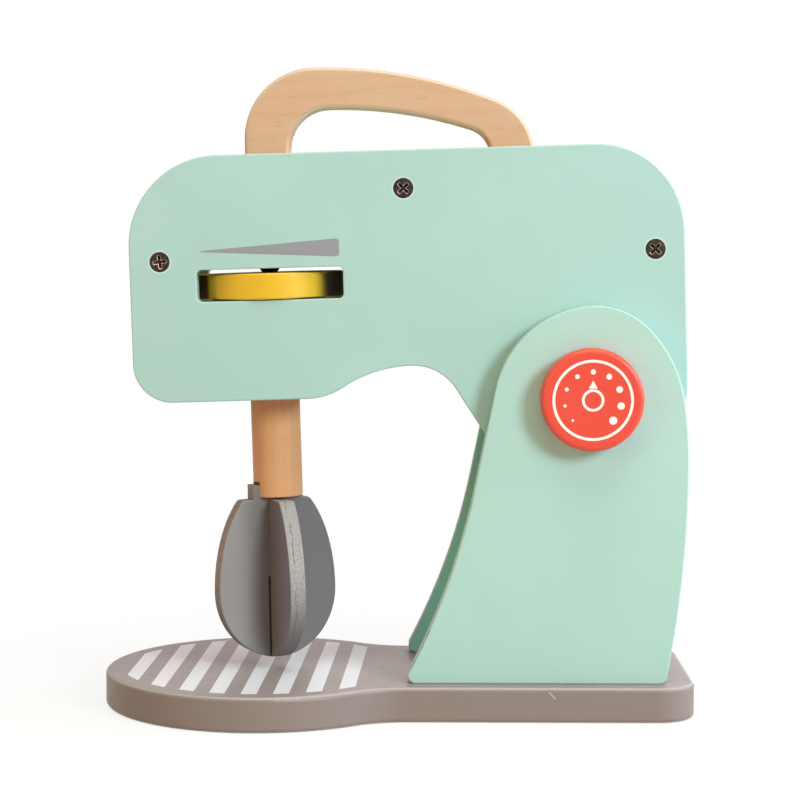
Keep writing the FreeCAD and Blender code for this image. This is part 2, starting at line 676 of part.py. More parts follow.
# ---------------------------------------------------------------- export
def main():
    """Build every part and write one STEP file each."""
    os.makedirs("parts", exist_ok=True)
    level = {
        "head_plate_front": head_plate(-1),
        "head_plate_rear": head_plate(1),
        "nose_block": spacer_block(nose_screw, nose_block_size),
        "tail_block": spacer_block(tail_screw, tail_block_size),
        "top_rail": top_rail(),
        "handle": handle(),
        "shaft_guide": shaft_guide(),
        "pivot_boss": pivot_boss(),
        "head_screws_front": Part.makeCompound(head_screw_set(-1, screw)),
        "head_screws_rear": Part.makeCompound(head_screw_set(1, screw)),
        "beater_shaft": beater_shaft(),
        "dial_wheel": dial_wheel(),
        "dial_screw": dial_screw(),
        "beater_blade_tabbed": blade_with_tab(),
        "beater_blade_cross": blade_across(),
    }
    parts = {name: lower_head(shape) for name, shape in level.items()}
    parts.update({
        "base_board": base_board(),
        "column_plate_front": column_plate(-1),
        "column_plate_rear": column_plate(1),
        "stop_bar": stop_bar(),
        "base_screws": Part.makeCompound(base_screw_set(screw)),
        "pivot_axle": pivot_axle(),
        "knob_front": knob(-1),
        "knob_rear": knob(1),
    })
    for name in sorted(parts):
        parts[name].exportStep(os.path.join("parts", name + ".step"))
        box = parts[name].BoundBox
        print("%-20s solids %d  x %.1f..%.1f  y %.1f..%.1f  z %.1f..%.1f" % (
            name, len(parts[name].Solids), box.XMin, box.XMax, box.YMin, box.YMax,
            box.ZMin, box.ZMax))


main()
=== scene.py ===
"""Looks of the wooden toy stand mixer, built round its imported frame.

Metres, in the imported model's frame: +X runs towards the column end, -Y is the side with the speed
wedge and +Z is up. The assemblies hold their sizes in millimetres, as on a workshop drawing, and
turn them into metres with MM. The finishes and the studio hold theirs in metres.
"""

import json
import logging
import math
from dataclasses import dataclass, replace
from enum import Enum
from functools import reduce
from typing import ClassVar, Iterable, Sequence, Union

import bmesh
import bpy
from mathutils import Color, Matrix, Vector


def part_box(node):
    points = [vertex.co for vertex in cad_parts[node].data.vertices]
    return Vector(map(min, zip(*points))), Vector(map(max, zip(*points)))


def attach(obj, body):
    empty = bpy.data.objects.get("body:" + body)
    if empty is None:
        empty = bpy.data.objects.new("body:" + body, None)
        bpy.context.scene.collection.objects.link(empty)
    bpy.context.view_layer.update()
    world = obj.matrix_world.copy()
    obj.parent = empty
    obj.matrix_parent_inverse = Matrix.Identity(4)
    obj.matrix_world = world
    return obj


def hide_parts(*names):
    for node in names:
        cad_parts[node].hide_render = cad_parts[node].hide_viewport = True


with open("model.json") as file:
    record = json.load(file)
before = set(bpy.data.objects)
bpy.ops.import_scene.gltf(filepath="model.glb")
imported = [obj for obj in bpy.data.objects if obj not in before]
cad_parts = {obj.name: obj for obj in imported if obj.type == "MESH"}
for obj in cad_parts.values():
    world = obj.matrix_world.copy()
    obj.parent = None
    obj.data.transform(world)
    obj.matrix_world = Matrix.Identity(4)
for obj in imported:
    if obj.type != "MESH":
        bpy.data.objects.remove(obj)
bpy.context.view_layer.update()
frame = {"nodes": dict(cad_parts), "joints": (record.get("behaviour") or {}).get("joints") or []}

MM = 0.001
LOG = logging.getLogger("toy_mixer")

Span = tuple[float, float]
Triple = tuple[float, float, float]
Shape = bmesh.types.BMesh
Geometry = list[Union[bmesh.types.BMVert, bmesh.types.BMEdge, bmesh.types.BMFace]]
Thing = bpy.types.Object


class Side(Enum):
    """The two faces of the toy, by the sign of Y."""

    FRONT = -1
    REAR = 1


class Body(Enum):
    """The bodies that pieces ride on."""

    STAND = "stand"
    HEAD = "head"
    BEATER = "beater"
    KNOBS = "knobs"


# ---- shader wiring
@dataclass(frozen=True)
class Tone:
    """A colour as it is read off a paint card, 0 to 255 in sRGB."""

    red: float
    green: float
    blue: float

    def rgba(self, gain: float = 1.0) -> tuple[float, float, float, float]:
        """The colour for a shader socket.

        Args:
            gain: Multiplies the linear colour.

        Returns:
            Linear red, green and blue, and an alpha of 1.
        """
        card = Color((self.red / 255, self.green / 255, self.blue / 255))
        linear = card.from_srgb_to_scene_linear() * gain
        return (linear.r, linear.g, linear.b, 1.0)


Feed = Union["Wire", Tone, float, Sequence[float]]


def add_node(tree: bpy.types.NodeTree, kind: str, inputs: dict[Union[str, int], Feed] | None = None,
             **settings: object) -> bpy.types.Node:
    """Add one node to a shader tree.

    Args:
        tree: The tree.
        kind: The node's type name.
        inputs: What goes into each input, by name or number.
        settings: The node's own properties, set first.

    Returns:
        The new node.
    """
    node = tree.nodes.new(kind)
    for key, value in settings.items():
        setattr(node, key, value)
    for key, value in (inputs or {}).items():
        if isinstance(value, Wire):
            tree.links.new(value.socket, node.inputs[key])
        else:
            node.inputs[key].default_value = value.rgba() if isinstance(value, Tone) else value
    return node


def emptied_tree(owner: Union[bpy.types.Material, bpy.types.World]) -> bpy.types.NodeTree:
    """The node tree of a material or a world, with nothing in it."""
    owner.use_nodes = True
    owner.node_tree.nodes.clear()
    return owner.node_tree


class Wire:
    """One output in a shader tree; what is done with it adds nodes to that tree."""

    def __init__(self, socket: bpy.types.NodeSocket) -> None:
        """Stand for this output."""
        self.socket = socket

    def into(self, kind: str, inputs: dict[Union[str, int], Feed], output: Union[str, int] = 0,
             **settings: object) -> "Wire":
        """Feed a new node in the same tree.

        Args:
            kind: The node's type name.
            inputs: What goes into each input, by name or number.
            output: The output that is wanted, by name or number.
            settings: The node's own properties.

        Returns:
            That output.
        """
        return Wire(add_node(self.socket.id_data, kind, inputs, **settings).outputs[output])

    def math(self, operation: str, other: Feed = 0.0) -> "Wire":
        """One Math node."""
        return self.into("ShaderNodeMath", {0: self, 1: other}, operation=operation)

    def __add__(self, other: Feed) -> "Wire":
        """Sum of two values."""
        return self.math("ADD", other)

    def __mul__(self, other: Feed) -> "Wire":
        """Product of two values."""
        return self.math("MULTIPLY", other)

    def larger(self, other: Feed) -> "Wire":
        """The larger of two values."""
        return self.math("MAXIMUM", other)

    def vector(self, operation: str, other: Feed = (0.0, 0.0, 0.0),
               output: str = "Vector") -> "Wire":
        """One Vector Math node."""
        return self.into("ShaderNodeVectorMath", {0: self, 1: other}, output, operation=operation)

    def dot(self, other: Feed) -> "Wire":
        """Dot product of two vectors."""
        return self.vector("DOT_PRODUCT", other, "Value")

    def length(self) -> "Wire":
        """Length of the vector."""
        return self.vector("LENGTH", output="Value")

    def axis(self, letter: str) -> "Wire":
        """One coordinate of the vector: X, Y or Z."""
        return self.into("ShaderNodeSeparateXYZ", {0: self}, letter)

    def fade(self, low: float, high: float, first: float = 0.0, last: float = 1.0) -> "Wire":
        """Smooth step.

        Args:
            low: Where the step starts.
            high: Where it ends; below low the step falls.
            first: Output at the start.
            last: Output at the end.

        Returns:
            The stepped value.
        """
        return self.into("ShaderNodeMapRange", {"Value": self, "From Min": low, "From Max": high,
                                                "To Min": first, "To Max": last},
                         interpolation_type="SMOOTHSTEP")

    def blend(self, first: Feed, second: Feed) -> "Wire":
        """Mix two colours by this mask."""
        return self.into("ShaderNodeMix", {0: self, 6: first, 7: second}, 2, data_type="RGBA")

    def noise(self, scale: float, detail: float = 2.0, roughness: float = 0.5) -> "Wire":
        """Grey noise on this vector; the scale is per metre."""
        return self.into("ShaderNodeTexNoise", {"Vector": self, "Scale": scale, "Detail": detail,
                                                "Roughness": roughness})

    def stretch(self, scale: Triple, turn: Triple = (0.0, 0.0, 0.0)) -> "Wire":
        """The vector scaled and then turned, in radians."""
        return self.into("ShaderNodeMapping", {"Vector": self, "Scale": scale, "Rotation": turn})

    def bump(self, strength: float, distance: float, invert: bool = False) -> "Wire":
        """Normal of a surface with this height."""
        return self.into("ShaderNodeBump", {"Strength": strength, "Distance": distance,
                                            "Height": self}, invert=invert)


Wires = dict[str, Wire]


class SharedEffect:
    """A node group that several finishes place in their own trees.

    Here and in the finishes a FADE, NOISE or BUMP holds what goes into that step of a Wire.
    """

    title: ClassVar[str] = "effect"
    inputs: ClassVar[dict[str, str]] = {}
    outputs: ClassVar[tuple[str, ...]] = ()

    def tree(self) -> bpy.types.NodeTree:
        """Make the group on its first use.

        Returns:
            The group's tree.
        """
        found = bpy.data.node_groups.get(self.title)
        if found:
            return found
        tree = bpy.data.node_groups.new(self.title, "ShaderNodeTree")
        for name, kind in self.inputs.items():
            tree.interface.new_socket(name=name, in_out="INPUT", socket_type="NodeSocket" + kind)
        for name in self.outputs:
            tree.interface.new_socket(name=name, in_out="OUTPUT", socket_type="NodeSocketFloat")
        source = add_node(tree, "NodeGroupInput").outputs
        add_node(tree, "NodeGroupOutput", self.wire({n: Wire(source[n]) for n in self.inputs}))
        return tree

    def wire(self, given: Wires) -> Wires:
        """Build the inside of the group.

        Args:
            given: Its named inputs.

        Returns:
            Its named outputs.
        """
        raise NotImplementedError

    def place(self, inputs: dict[str, Feed]) -> Wires:
        """Put the group into a finish.

        Args:
            inputs: What goes into it; the first is a wire of the finish's tree.

        Returns:
            Its named outputs.
        """
        tree = next(iter(inputs.values())).socket.id_data
        made = add_node(tree, "ShaderNodeGroup", inputs, node_tree=self.tree())
        return {name: Wire(made.outputs[name]) for name in self.outputs}


class PaintFilm(SharedEffect):
    """Sprayed paint: broad soft patches, rare dust nibs and a fine ripple."""

    title = "paint_film"
    inputs = {"Vector": "Vector"}
    outputs = ("Patches", "Nibs", "Ripple")

    PATCH_NOISE, PATCH_FADE = (22.0, 3.0, 0.45), (0.3, 0.7)
    NIB_SCALE, NIB_FADE, RARE_NOISE, RARE_FADE = 95.0, (0.035, 0.012), (61.0, 1.0), (0.62, 0.68)
    FINE_NOISE, FINE_SHARE, SLOW_SCALE, SLOW_SHARE = (1500.0, 2.0, 0.6), 0.35, 260.0, 0.65

    def wire(self, given: Wires) -> Wires:
        """See SharedEffect.wire."""
        place = given["Vector"]
        spots = place.into("ShaderNodeTexVoronoi", {"Vector": place, "Scale": self.NIB_SCALE},
                           "Distance")
        rare = place.noise(*self.RARE_NOISE).fade(*self.RARE_FADE)
        fine, slow = place.noise(*self.FINE_NOISE), place.noise(self.SLOW_SCALE)
        return {"Patches": place.noise(*self.PATCH_NOISE).fade(*self.PATCH_FADE),
                "Nibs": spots.fade(*self.NIB_FADE) * rare,
                "Ripple": fine * self.FINE_SHARE + slow * self.SLOW_SHARE}


class SheetRim(SharedEffect):
    """Tells the cut edge of a sheet part, and the round along it, from its two faces."""

    title = "sheet_rim"
    inputs = {"Normal": "Vector", "Across": "Vector"}
    outputs = ("Edge", "Round")

    EDGE_FADE, OFF_FACE_FADE, OFF_EDGE_FADE = (0.9, 0.55), (0.995, 0.88), (0.4, 0.72)

    def wire(self, given: Wires) -> Wires:
        """See SharedEffect.wire."""
        flat = given["Normal"].dot(given["Across"]).math("ABSOLUTE")
        return {"Edge": flat.fade(*self.EDGE_FADE),
                "Round": flat.fade(*self.OFF_FACE_FADE) * flat.fade(*self.OFF_EDGE_FADE)}


class WoodGrain(SharedEffect):
    """Hardwood with its grain along the vector's Z: growth lines, pores and ray flecks."""

    title = "wood_grain"
    inputs = {"Vector": "Vector", "Pitch": "Float", "Wander": "Float"}
    outputs = ("Lines", "Pores", "Flecks", "Clouds")

    # How much the lines, pores, flecks and clouds are drawn out along the grain
    ALONG_SCALES = (0.16, 0.07, 0.22, 0.4)
    DRIFT_SCALE, SHAKE_SCALE, SHAKE, DEPTH_SHARE = 55.0, 420.0, 0.0006, 0.35
    RISE_FADE, FALL_FADE = (0.55, 0.94), (1.0, 0.95)
    PORE_NOISE, PORE_FADE = (2600.0, 1.0), (0.6, 0.74)
    FLECK_NOISE, FLECK_FADE = (1500.0, 1.0, 0.4), (0.6, 0.72)
    CLOUD_SCALE, CLOUD_FADE = 38.0, (0.3, 0.7)

    def wire(self, given: Wires) -> Wires:
        """See SharedEffect.wire."""
        along, in_pores, in_flecks, in_clouds = (
            given["Vector"].stretch((1.0, 1.0, scale)) for scale in self.ALONG_SCALES)
        bent = (along.axis("X") + along.axis("Y") * self.DEPTH_SHARE
                + along.noise(self.DRIFT_SCALE) * given["Wander"]
                + along.noise(self.SHAKE_SCALE) * self.SHAKE)
        year = bent.math("DIVIDE", given["Pitch"]).math("FRACT")
        return {"Lines": year.fade(*self.RISE_FADE) * year.fade(*self.FALL_FADE),
                "Pores": in_pores.noise(*self.PORE_NOISE).fade(*self.PORE_FADE),
                "Flecks": in_flecks.noise(*self.FLECK_NOISE).fade(*self.FLECK_FADE),
                "Clouds": in_clouds.noise(self.CLOUD_SCALE).fade(*self.CLOUD_FADE)}


PAINT_FILM = PaintFilm()
SHEET_RIM = SheetRim()
WOOD_GRAIN = WoodGrain()


# ---- finishes
PAINT_IOR = 1.45
WOOD_IOR = 1.4
ACROSS_Y: Triple = (0.0, 1.0, 0.0)


@dataclass(frozen=True)
class Finish:
    """Base of every finish: a name and the steps that each material goes through.

    In the finishes a SHARE is the strength of a mask and a GAIN multiplies a tone.
    """

    name: str

    def material(self) -> bpy.types.Material:
        """Make the material on its first use.

        Returns:
            The finished material.
        """
        found = bpy.data.materials.get(self.name)
        if found:
            return found
        made = bpy.data.materials.new(self.name)
        tree = emptied_tree(made)
        spot = add_node(tree, "ShaderNodeTexCoord").outputs
        shader = add_node(tree, "ShaderNodeBsdfPrincipled",
                          self.surface(Wire(spot["Object"]), Wire(spot["Normal"])))
        add_node(tree, "ShaderNodeOutputMaterial", {"Surface": Wire(shader.outputs[0])})
        return made

    def surface(self, place: Wire, normal: Wire) -> dict[str, Feed]:
        """Wire the finish.

        Args:
            place: The shaded point, in metres.
            normal: Which way the surface faces there.

        Returns:
            What goes into each input of the Principled shader.
        """
        raise NotImplementedError


@dataclass(frozen=True)
class SprayedPaint(Finish):
    """Satin paint sprayed on a sheet or turned part.

    Attributes:
        tone: The paint.
        shade: The paint where the film is thicker.
        rim: The paint along the rounded edges, lighter: thin paint there, and a painted highlight.
        edge: The paint on cut edges, which drink more of it, darkened further with painted shade;
            None where it looks the same.
        inside: Painted light and shade on the faces towards the middle plane; None where it looks
            the same.
        across: Direction across the sheet, or along the axis of a turned part.
        rim_share: How far the rim tone shows.
        roughness: Lowest roughness of the film.
        seats: Screw places, as (x, z), each with a paler ring where the paint stops.
        painted_shade_reach: Reach of painted shade near other parts, which also darkens the ends; 0
            for none.
    """

    tone: Tone
    shade: Tone
    rim: Tone
    edge: Tone | None = None
    inside: Tone | None = None
    across: Triple = ACROSS_Y
    rim_share: float = 0.5
    roughness: float = 0.42
    seats: tuple[Span, ...] = ()
    painted_shade_reach: float = 0.0

    NIB_SHARE, NIB_GAIN, INWARD_FADE = 0.35, 0.55, (-0.3, -0.7)
    SEAT_FADE, SEAT_SHARE, SEAT_GAIN = (0.0047, 0.0043), 0.75, 1.12
    COVERED_FADE, GRIME_GAIN = (0.46, 0.2), 0.02
    RIGHT_FADE, LEFT_FADE = (0.62, 0.82, 0.0, 0.97), (-0.78, -0.85, 0.0, 0.97)
    RIPPLE_FADE, RIPPLE_GLOSS, RIPPLE_BUMP = (0.3, 0.7), 0.1, (0.5, 0.00006)

    def surface(self, place: Wire, normal: Wire) -> dict[str, Feed]:
        """See Finish.surface."""
        film = PAINT_FILM.place({"Vector": place})
        rim = SHEET_RIM.place({"Normal": normal, "Across": self.across})
        colour = film["Patches"].blend(self.tone, self.shade)
        # Painted light and shade on the faces towards the middle plane.
        if self.inside:
            inward = (place.axis("Y").math("SIGN") * normal.axis("Y")).fade(*self.INWARD_FADE)
            colour = inward.blend(colour, self.inside)
        if self.edge:
            # Cut edges: paint that drank more, and painted shade.
            colour = rim["Edge"].blend(colour, self.edge)
        # Rounded edges: thin paint and a painted highlight.
        colour = (rim["Round"] * self.rim_share).blend(colour, self.rim)
        if self.seats:
            colour = self.seat_rings(place).blend(colour, self.rim.rgba(self.SEAT_GAIN))
        colour = self.marks(place, colour)
        colour = (film["Nibs"] * self.NIB_SHARE).blend(colour, self.shade.rgba(self.NIB_GAIN))
        # Painted shade, near black: close to other parts, and at the wheel's ends in its housing.
        if self.painted_shade_reach:
            colour = self.painted_shade_places(place).blend(colour, self.shade.rgba(self.GRIME_GAIN))
        return {"Base Color": colour, "IOR": PAINT_IOR,
                "Roughness": film["Ripple"].fade(*self.RIPPLE_FADE, self.roughness,
                                                 self.roughness + self.RIPPLE_GLOSS),
                "Normal": film["Ripple"].bump(*self.RIPPLE_BUMP)}

    def marks(self, place: Wire, colour: Wire) -> Wire:
        """Add marks of use on top of the paint; plain paint has none.

        Args:
            place: The shaded point.
            colour: The paint there.

        Returns:
            The paint with its marks.
        """
        return colour

    def seat_rings(self, place: Wire) -> Wire:
        """Find the narrow rings round the screws.

        Args:
            place: The shaded point.

        Returns:
            Their mask.
        """
        rings = []
        for x, z in self.seats:
            off = place.vector("SUBTRACT", (x, 0.0, z)).vector("MULTIPLY", (1.0, 0.0, 1.0))
            rings.append(off.length().fade(*self.SEAT_FADE))
        return reduce(Wire.larger, rings) * self.SEAT_SHARE

    def painted_shade_places(self, place: Wire) -> Wire:
        """Find where shade is painted: spots close to other parts, and the ends turned along X.

        Those ends of a wheel between two plates lie in the shade of its housing.

        Args:
            place: The shaded point.

        Returns:
            Their mask.
        """
        near = place.into("ShaderNodeAmbientOcclusion", {"Distance": self.painted_shade_reach}, "AO", samples=8)
        end = place.into("ShaderNodeNewGeometry", {}, "Normal").axis("X")
        ends = end.fade(*self.RIGHT_FADE).larger(end.fade(*self.LEFT_FADE))
        return near.fade(*self.COVERED_FADE).larger(ends)


@dataclass(frozen=True)
class ScratchedPaint(SprayedPaint):
    """Paint with one light scratch across an edge.

    Attributes:
        scratch_from: Where the scratch starts.
        scratch_to: Where it ends.
        scratch_tone: The bare board that shows.
    """

    scratch_from: Triple = (0.0, 0.0, 0.0)
    scratch_to: Triple = (0.0, 0.0, 0.0)
    scratch_tone: Tone = Tone(206, 198, 190)

    RAGGED_NOISE, RAGGED, WIDTH_FADE = (2200.0, 1.0), 0.0002, (0.0004, 0.0002)
    START_FADE, END_BLUR, SCRATCH_SHARE = (0.0, 0.0004), 0.0006, 0.8

    def marks(self, place: Wire, colour: Wire) -> Wire:
        """See SprayedPaint.marks."""
        reach = Vector(self.scratch_to) - Vector(self.scratch_from)
        run = tuple(reach.normalized())
        off = place.vector("SUBTRACT", self.scratch_from)
        along = off.dot(run)
        away = off.vector("CROSS_PRODUCT", run).length()
        away += place.noise(*self.RAGGED_NOISE) * self.RAGGED
        ends = along.fade(*self.START_FADE) * along.fade(reach.length, reach.length - self.END_BLUR)
        mask = away.fade(*self.WIDTH_FADE) * ends * self.SCRATCH_SHARE
        return mask.blend(colour, self.scratch_tone)


@dataclass(frozen=True)
class BladePaint(Finish):
    """Grey paint on fibre board: smooth faces, thirsty fibrous cut edges with a dark mid line.

    Attributes:
        tone: Paint on the faces, at the lit end of the blade.
        shade: The same paint with painted shade, over the rest of the blade.
        edge: Paint on the cut edge.
        edge_shaded_low: The cut edge with painted shade, towards the foot of the blade.
        pit: The open fibres and the line along the middle of the cut edge.
        slot_side: Side of the cross lap with a painted shadow line below the middle: -1, 1, or 0
            for none.
        along: Direction from the paler end of the blade to its other end.
        across: Direction across the blade.
        middle: A point on the blade's middle plane.
        half: Half the thickness.
    """

    tone: Tone = Tone(149, 143, 145)
    shade: Tone = Tone(116, 110, 110)
    edge: Tone = Tone(180, 173, 174)
    edge_shaded_low: Tone = Tone(118, 111, 112)
    pit: Tone = Tone(98, 93, 91)
    slot_side: float = 0.0
    along: Triple = (1.0, 0.0, 0.0)
    across: Triple = ACROSS_Y
    middle: Triple = (0.0, 0.0, 0.0)
    half: float = 0.0034

    # Cut edge: open fibres, and a line along the middle that drifts and has gaps
    FIBRE_SCALE, DRIFT_SCALE, GAP_SCALE = (1.0, 1.0, 0.35), (0.4, 0.4, 1.0), (0.3, 0.3, 1.0)
    FIBRE_NOISE, FIBRE_FADE, PIT_FADE = (2600.0, 3.0, 0.7), (0.4, 0.56, 0.15), (0.48, 0.62)
    DRIFT_NOISE, DRIFT, DRIFT_MEAN, LINE_FADE = (120.0, 3.0, 0.6), 0.9, 0.3, (0.14, 0.03)
    GAP_NOISE, GAP_FADE, PIT_SHARE = (90.0, 2.0, 0.6), (0.38, 0.5, 0.0, 0.9), 0.46
    MOTTLE_NOISE, MOTTLE_FADE = (900.0, 3.0, 0.6), (0.42, 0.68, 0.0, 0.16)
    LOW_FADE = (-0.062, -0.098)
    # Faces with their painted shade, and the painted shadow line in the lap
    PALE_FADE, PATCH_SHARE, SLIT_GAIN = (-0.019, -0.008), 0.12, 0.12
    OUTER_FADE, INNER_FADE, TOP_FADE = (0.004, 0.0037), (0.0, 0.001), (-0.0711, -0.0714)
    # Film
    ROUGHNESS, EDGE_ROUGHER, RIPPLE_SHARE, RELIEF_BUMP = 0.45, 0.25, 0.25, (0.6, 0.0002)

    def surface(self, place: Wire, normal: Wire) -> dict[str, Feed]:
        """See Finish.surface."""
        film = PAINT_FILM.place({"Vector": place})
        edge = SHEET_RIM.place({"Normal": normal, "Across": self.across})["Edge"]
        off = place.vector("SUBTRACT", self.middle)
        fibres = self.open_fibres(place, off)
        height = edge * (fibres * -1.0 + 1.0) + film["Ripple"] * self.RIPPLE_SHARE
        return {"Base Color": edge.blend(self.face(film["Patches"], off),
                                         self.cut(place, off, fibres)),
                "Roughness": edge * self.EDGE_ROUGHER + self.ROUGHNESS, "IOR": PAINT_IOR,
                "Normal": height.bump(*self.RELIEF_BUMP)}

    def open_fibres(self, place: Wire, off: Wire) -> Wire:
        """Find the pits in the cut edge and the broken line along its middle.

        Args:
            place: The shaded point.
            off: The same from the blade's middle.

        Returns:
            Their mask.
        """
        fibres = place.stretch(self.FIBRE_SCALE).noise(*self.FIBRE_NOISE)
        drift = place.stretch(self.DRIFT_SCALE).noise(*self.DRIFT_NOISE)
        gaps = place.stretch(self.GAP_SCALE).noise(*self.GAP_NOISE)
        centre = off.dot(self.across).math("DIVIDE", self.half) + drift * self.DRIFT
        line = (centre.math("SUBTRACT", self.DRIFT_MEAN).math("ABSOLUTE").fade(*self.LINE_FADE)
                * gaps.fade(*self.GAP_FADE) * fibres.fade(*self.FIBRE_FADE))
        return line.larger(fibres.fade(*self.PIT_FADE) * self.PIT_SHARE)

    def cut(self, place: Wire, off: Wire, fibres: Wire) -> Wire:
        """Colour the cut edge.

        Args:
            place: The shaded point.
            off: The same from the blade's middle.
            fibres: Mask of the open fibres.

        Returns:
            The colour.
        """
        mottle = place.noise(*self.MOTTLE_NOISE).fade(*self.MOTTLE_FADE)
        # Painted shade: the cut edge darkens towards the foot of the blade.
        colour = off.axis("Z").fade(*self.LOW_FADE).blend(self.edge, self.edge_shaded_low)
        return fibres.larger(mottle).blend(colour, self.pit)

    def face(self, patches: Wire, off: Wire) -> Wire:
        """Colour the faces with their painted shade, and the painted shadow line in the lap below
        the middle.

        Args:
            patches: Mask of the film's patches.
            off: The shaded point from the blade's middle.

        Returns:
            The colour.
        """
        reach = off.dot(self.along)
        # Painted shade: the faces darken from the lit end towards the rest of the blade.
        colour = reach.fade(*self.PALE_FADE).blend(self.tone, self.shade)
        colour = (patches * self.PATCH_SHARE).blend(colour, self.pit)
        if self.slot_side:
            aside = reach * self.slot_side
            # Painted shadow of the gap in the lap.
            slit = (aside.fade(*self.OUTER_FADE) * aside.fade(*self.INNER_FADE)
                    * off.axis("Z").fade(*self.TOP_FADE))
            colour = slit.blend(colour, self.pit.rgba(self.SLIT_GAIN))
        return colour


@dataclass(frozen=True)
class BareWood(Finish):
    """Sanded hardwood without paint.

    Attributes:
        light: Early wood.
        dark: Late wood and the growth lines.
        pore: Pores and flecks.
        turn: Turns the part so that its grain runs along Z, in degrees.
        pitch: Spacing of the growth lines.
        wander: How far the lines drift.
        line_share: Strength of the growth lines.
        fleck_share: Strength of the flecks.
        roughness: Roughness of the sanded surface.
        under: Painted reflection on faces that look down, the green of the paint below them; None
            where it looks the same.
        up_edge_highlight: Painted highlight on the rounded edges that look up; None where they stay
            as the rest.
    """

    light: Tone
    dark: Tone
    pore: Tone
    turn: Triple = (0.0, 0.0, 0.0)
    pitch: float = 0.006
    wander: float = 0.02
    line_share: float = 0.35
    fleck_share: float = 0.35
    roughness: float = 0.55
    under: Tone | None = None
    up_edge_highlight: Tone | None = None

    CLOUD_SHARE, CLOUD_GAIN, CLOUD_GLOSS, PORE_SHARE = 0.6, 1.12, 0.08, 0.25
    DOWN_FADE, UP_FADE = (-0.35, -0.75), (-0.2, 0.15)
    RELIEF_FLECKS, RELIEF_BUMP = 0.4, (0.35, 0.00005, True)

    def surface(self, place: Wire, normal: Wire) -> dict[str, Feed]:
        """See Finish.surface."""
        turned = place.stretch((1.0, 1.0, 1.0), tuple(math.radians(a) for a in self.turn))
        grain = WOOD_GRAIN.place({"Vector": turned, "Pitch": self.pitch, "Wander": self.wander})
        colour = (grain["Clouds"] * self.CLOUD_SHARE).blend(self.light,
                                                            self.dark.rgba(self.CLOUD_GAIN))
        for mask, share, tone in (("Lines", self.line_share, self.dark),
                                  ("Flecks", self.fleck_share, self.pore),
                                  ("Pores", self.PORE_SHARE, self.pore)):
            colour = (grain[mask] * share).blend(colour, tone)
        # Painted reflection: faces that look down take on the green of the paint below.
        if self.under:
            colour = normal.axis("Z").fade(*self.DOWN_FADE).blend(colour, self.under)
        # Painted highlight on the rounded edges that look up.
        if self.up_edge_highlight:
            rim = SHEET_RIM.place({"Normal": normal, "Across": ACROSS_Y})
            highlit = rim["Round"] * normal.axis("Z").fade(*self.UP_FADE)
            colour = highlit.blend(colour, self.up_edge_highlight)
        relief = grain["Pores"] + grain["Flecks"] * self.RELIEF_FLECKS
        return {"Base Color": colour, "IOR": WOOD_IOR,
                "Roughness": grain["Clouds"].fade(0.0, 1.0, self.roughness,
                                                  self.roughness + self.CLOUD_GLOSS),
                "Normal": relief.bump(*self.RELIEF_BUMP)}


@dataclass(frozen=True)
class ScreenInk(Finish):
    """A printed ink layer that lets the paint under it show a little.

    Attributes:
        tone: The ink.
        thin: The ink where it is thin.
    """

    tone: Tone
    thin: Tone

    GRAIN_NOISE, GRAIN_FADE, GRAIN_SHARE = (900.0, 2.0, 0.6), (0.45, 0.75), 0.35
    PATCH_SHARE, GLOSS_FADE = 0.4, (0.0, 1.0, 0.4, 0.5)

    def surface(self, place: Wire, normal: Wire) -> dict[str, Feed]:
        """See Finish.surface."""
        grain = place.noise(*self.GRAIN_NOISE).fade(*self.GRAIN_FADE)
        patches = PAINT_FILM.place({"Vector": place})["Patches"] * self.PATCH_SHARE
        thin = (grain * self.GRAIN_SHARE).larger(patches)
        return {"Base Color": thin.blend(self.tone, self.thin), "IOR": PAINT_IOR,
                "Roughness": grain.fade(*self.GLOSS_FADE)}


@dataclass(frozen=True)
class Steel(Finish):
    """Screw steel.

    Attributes:
        tone: Colour of the metal or its oxide.
        stain: Colour in the hollows.
        roughness: Lowest roughness.
    """

    tone: Tone
    stain: Tone
    roughness: float = 0.32

    SPOT_NOISE, SPOT_FADE, SPOT_GLOSS = (700.0, 3.0, 0.6), (0.35, 0.7), 0.2
    DENT_SCALE, DENT_BUMP = 1800.0, (0.4, 0.00005)

    def surface(self, place: Wire, normal: Wire) -> dict[str, Feed]:
        """See Finish.surface."""
        spots = place.noise(*self.SPOT_NOISE).fade(*self.SPOT_FADE)
        dents = place.noise(self.DENT_SCALE).bump(*self.DENT_BUMP)
        return {"Base Color": spots.blend(self.tone, self.stain), "Metallic": 1.0, "Normal": dents,
                "Roughness": spots.fade(0.0, 1.0, self.roughness, self.roughness + self.SPOT_GLOSS)}


# ---- pieces
TINY = 1e-7
SHARP_ABOVE = math.radians(35)


def link(thing: Thing) -> Thing:
    """Link an object to the scene; returns it."""
    bpy.context.scene.collection.objects.link(thing)
    return thing


def shown_piece(name: str, shape: Shape, finishes: Sequence[Finish], body: Body) -> Thing:
    """Turn a bmesh into a piece that rides on a body.

    Args:
        name: Name of the piece.
        shape: The bmesh, freed here.
        finishes: Finishes by material index.
        body: The body it moves with.

    Returns:
        The piece.
    """
    bmesh.ops.remove_doubles(shape, verts=shape.verts, dist=TINY)
    bmesh.ops.recalc_face_normals(shape, faces=shape.faces)
    mesh = bpy.data.meshes.new(name)
    shape.to_mesh(mesh)
    shape.free()
    for finish in finishes:
        mesh.materials.append(finish.material())
    mesh.shade_smooth()
    mesh.set_sharp_from_angle(angle=SHARP_ABOVE)
    piece = link(bpy.data.objects.new(name, mesh))
    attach(piece, body.value)
    LOG.info("piece %s on %s: %d faces", name, body.value, len(mesh.polygons))
    return piece


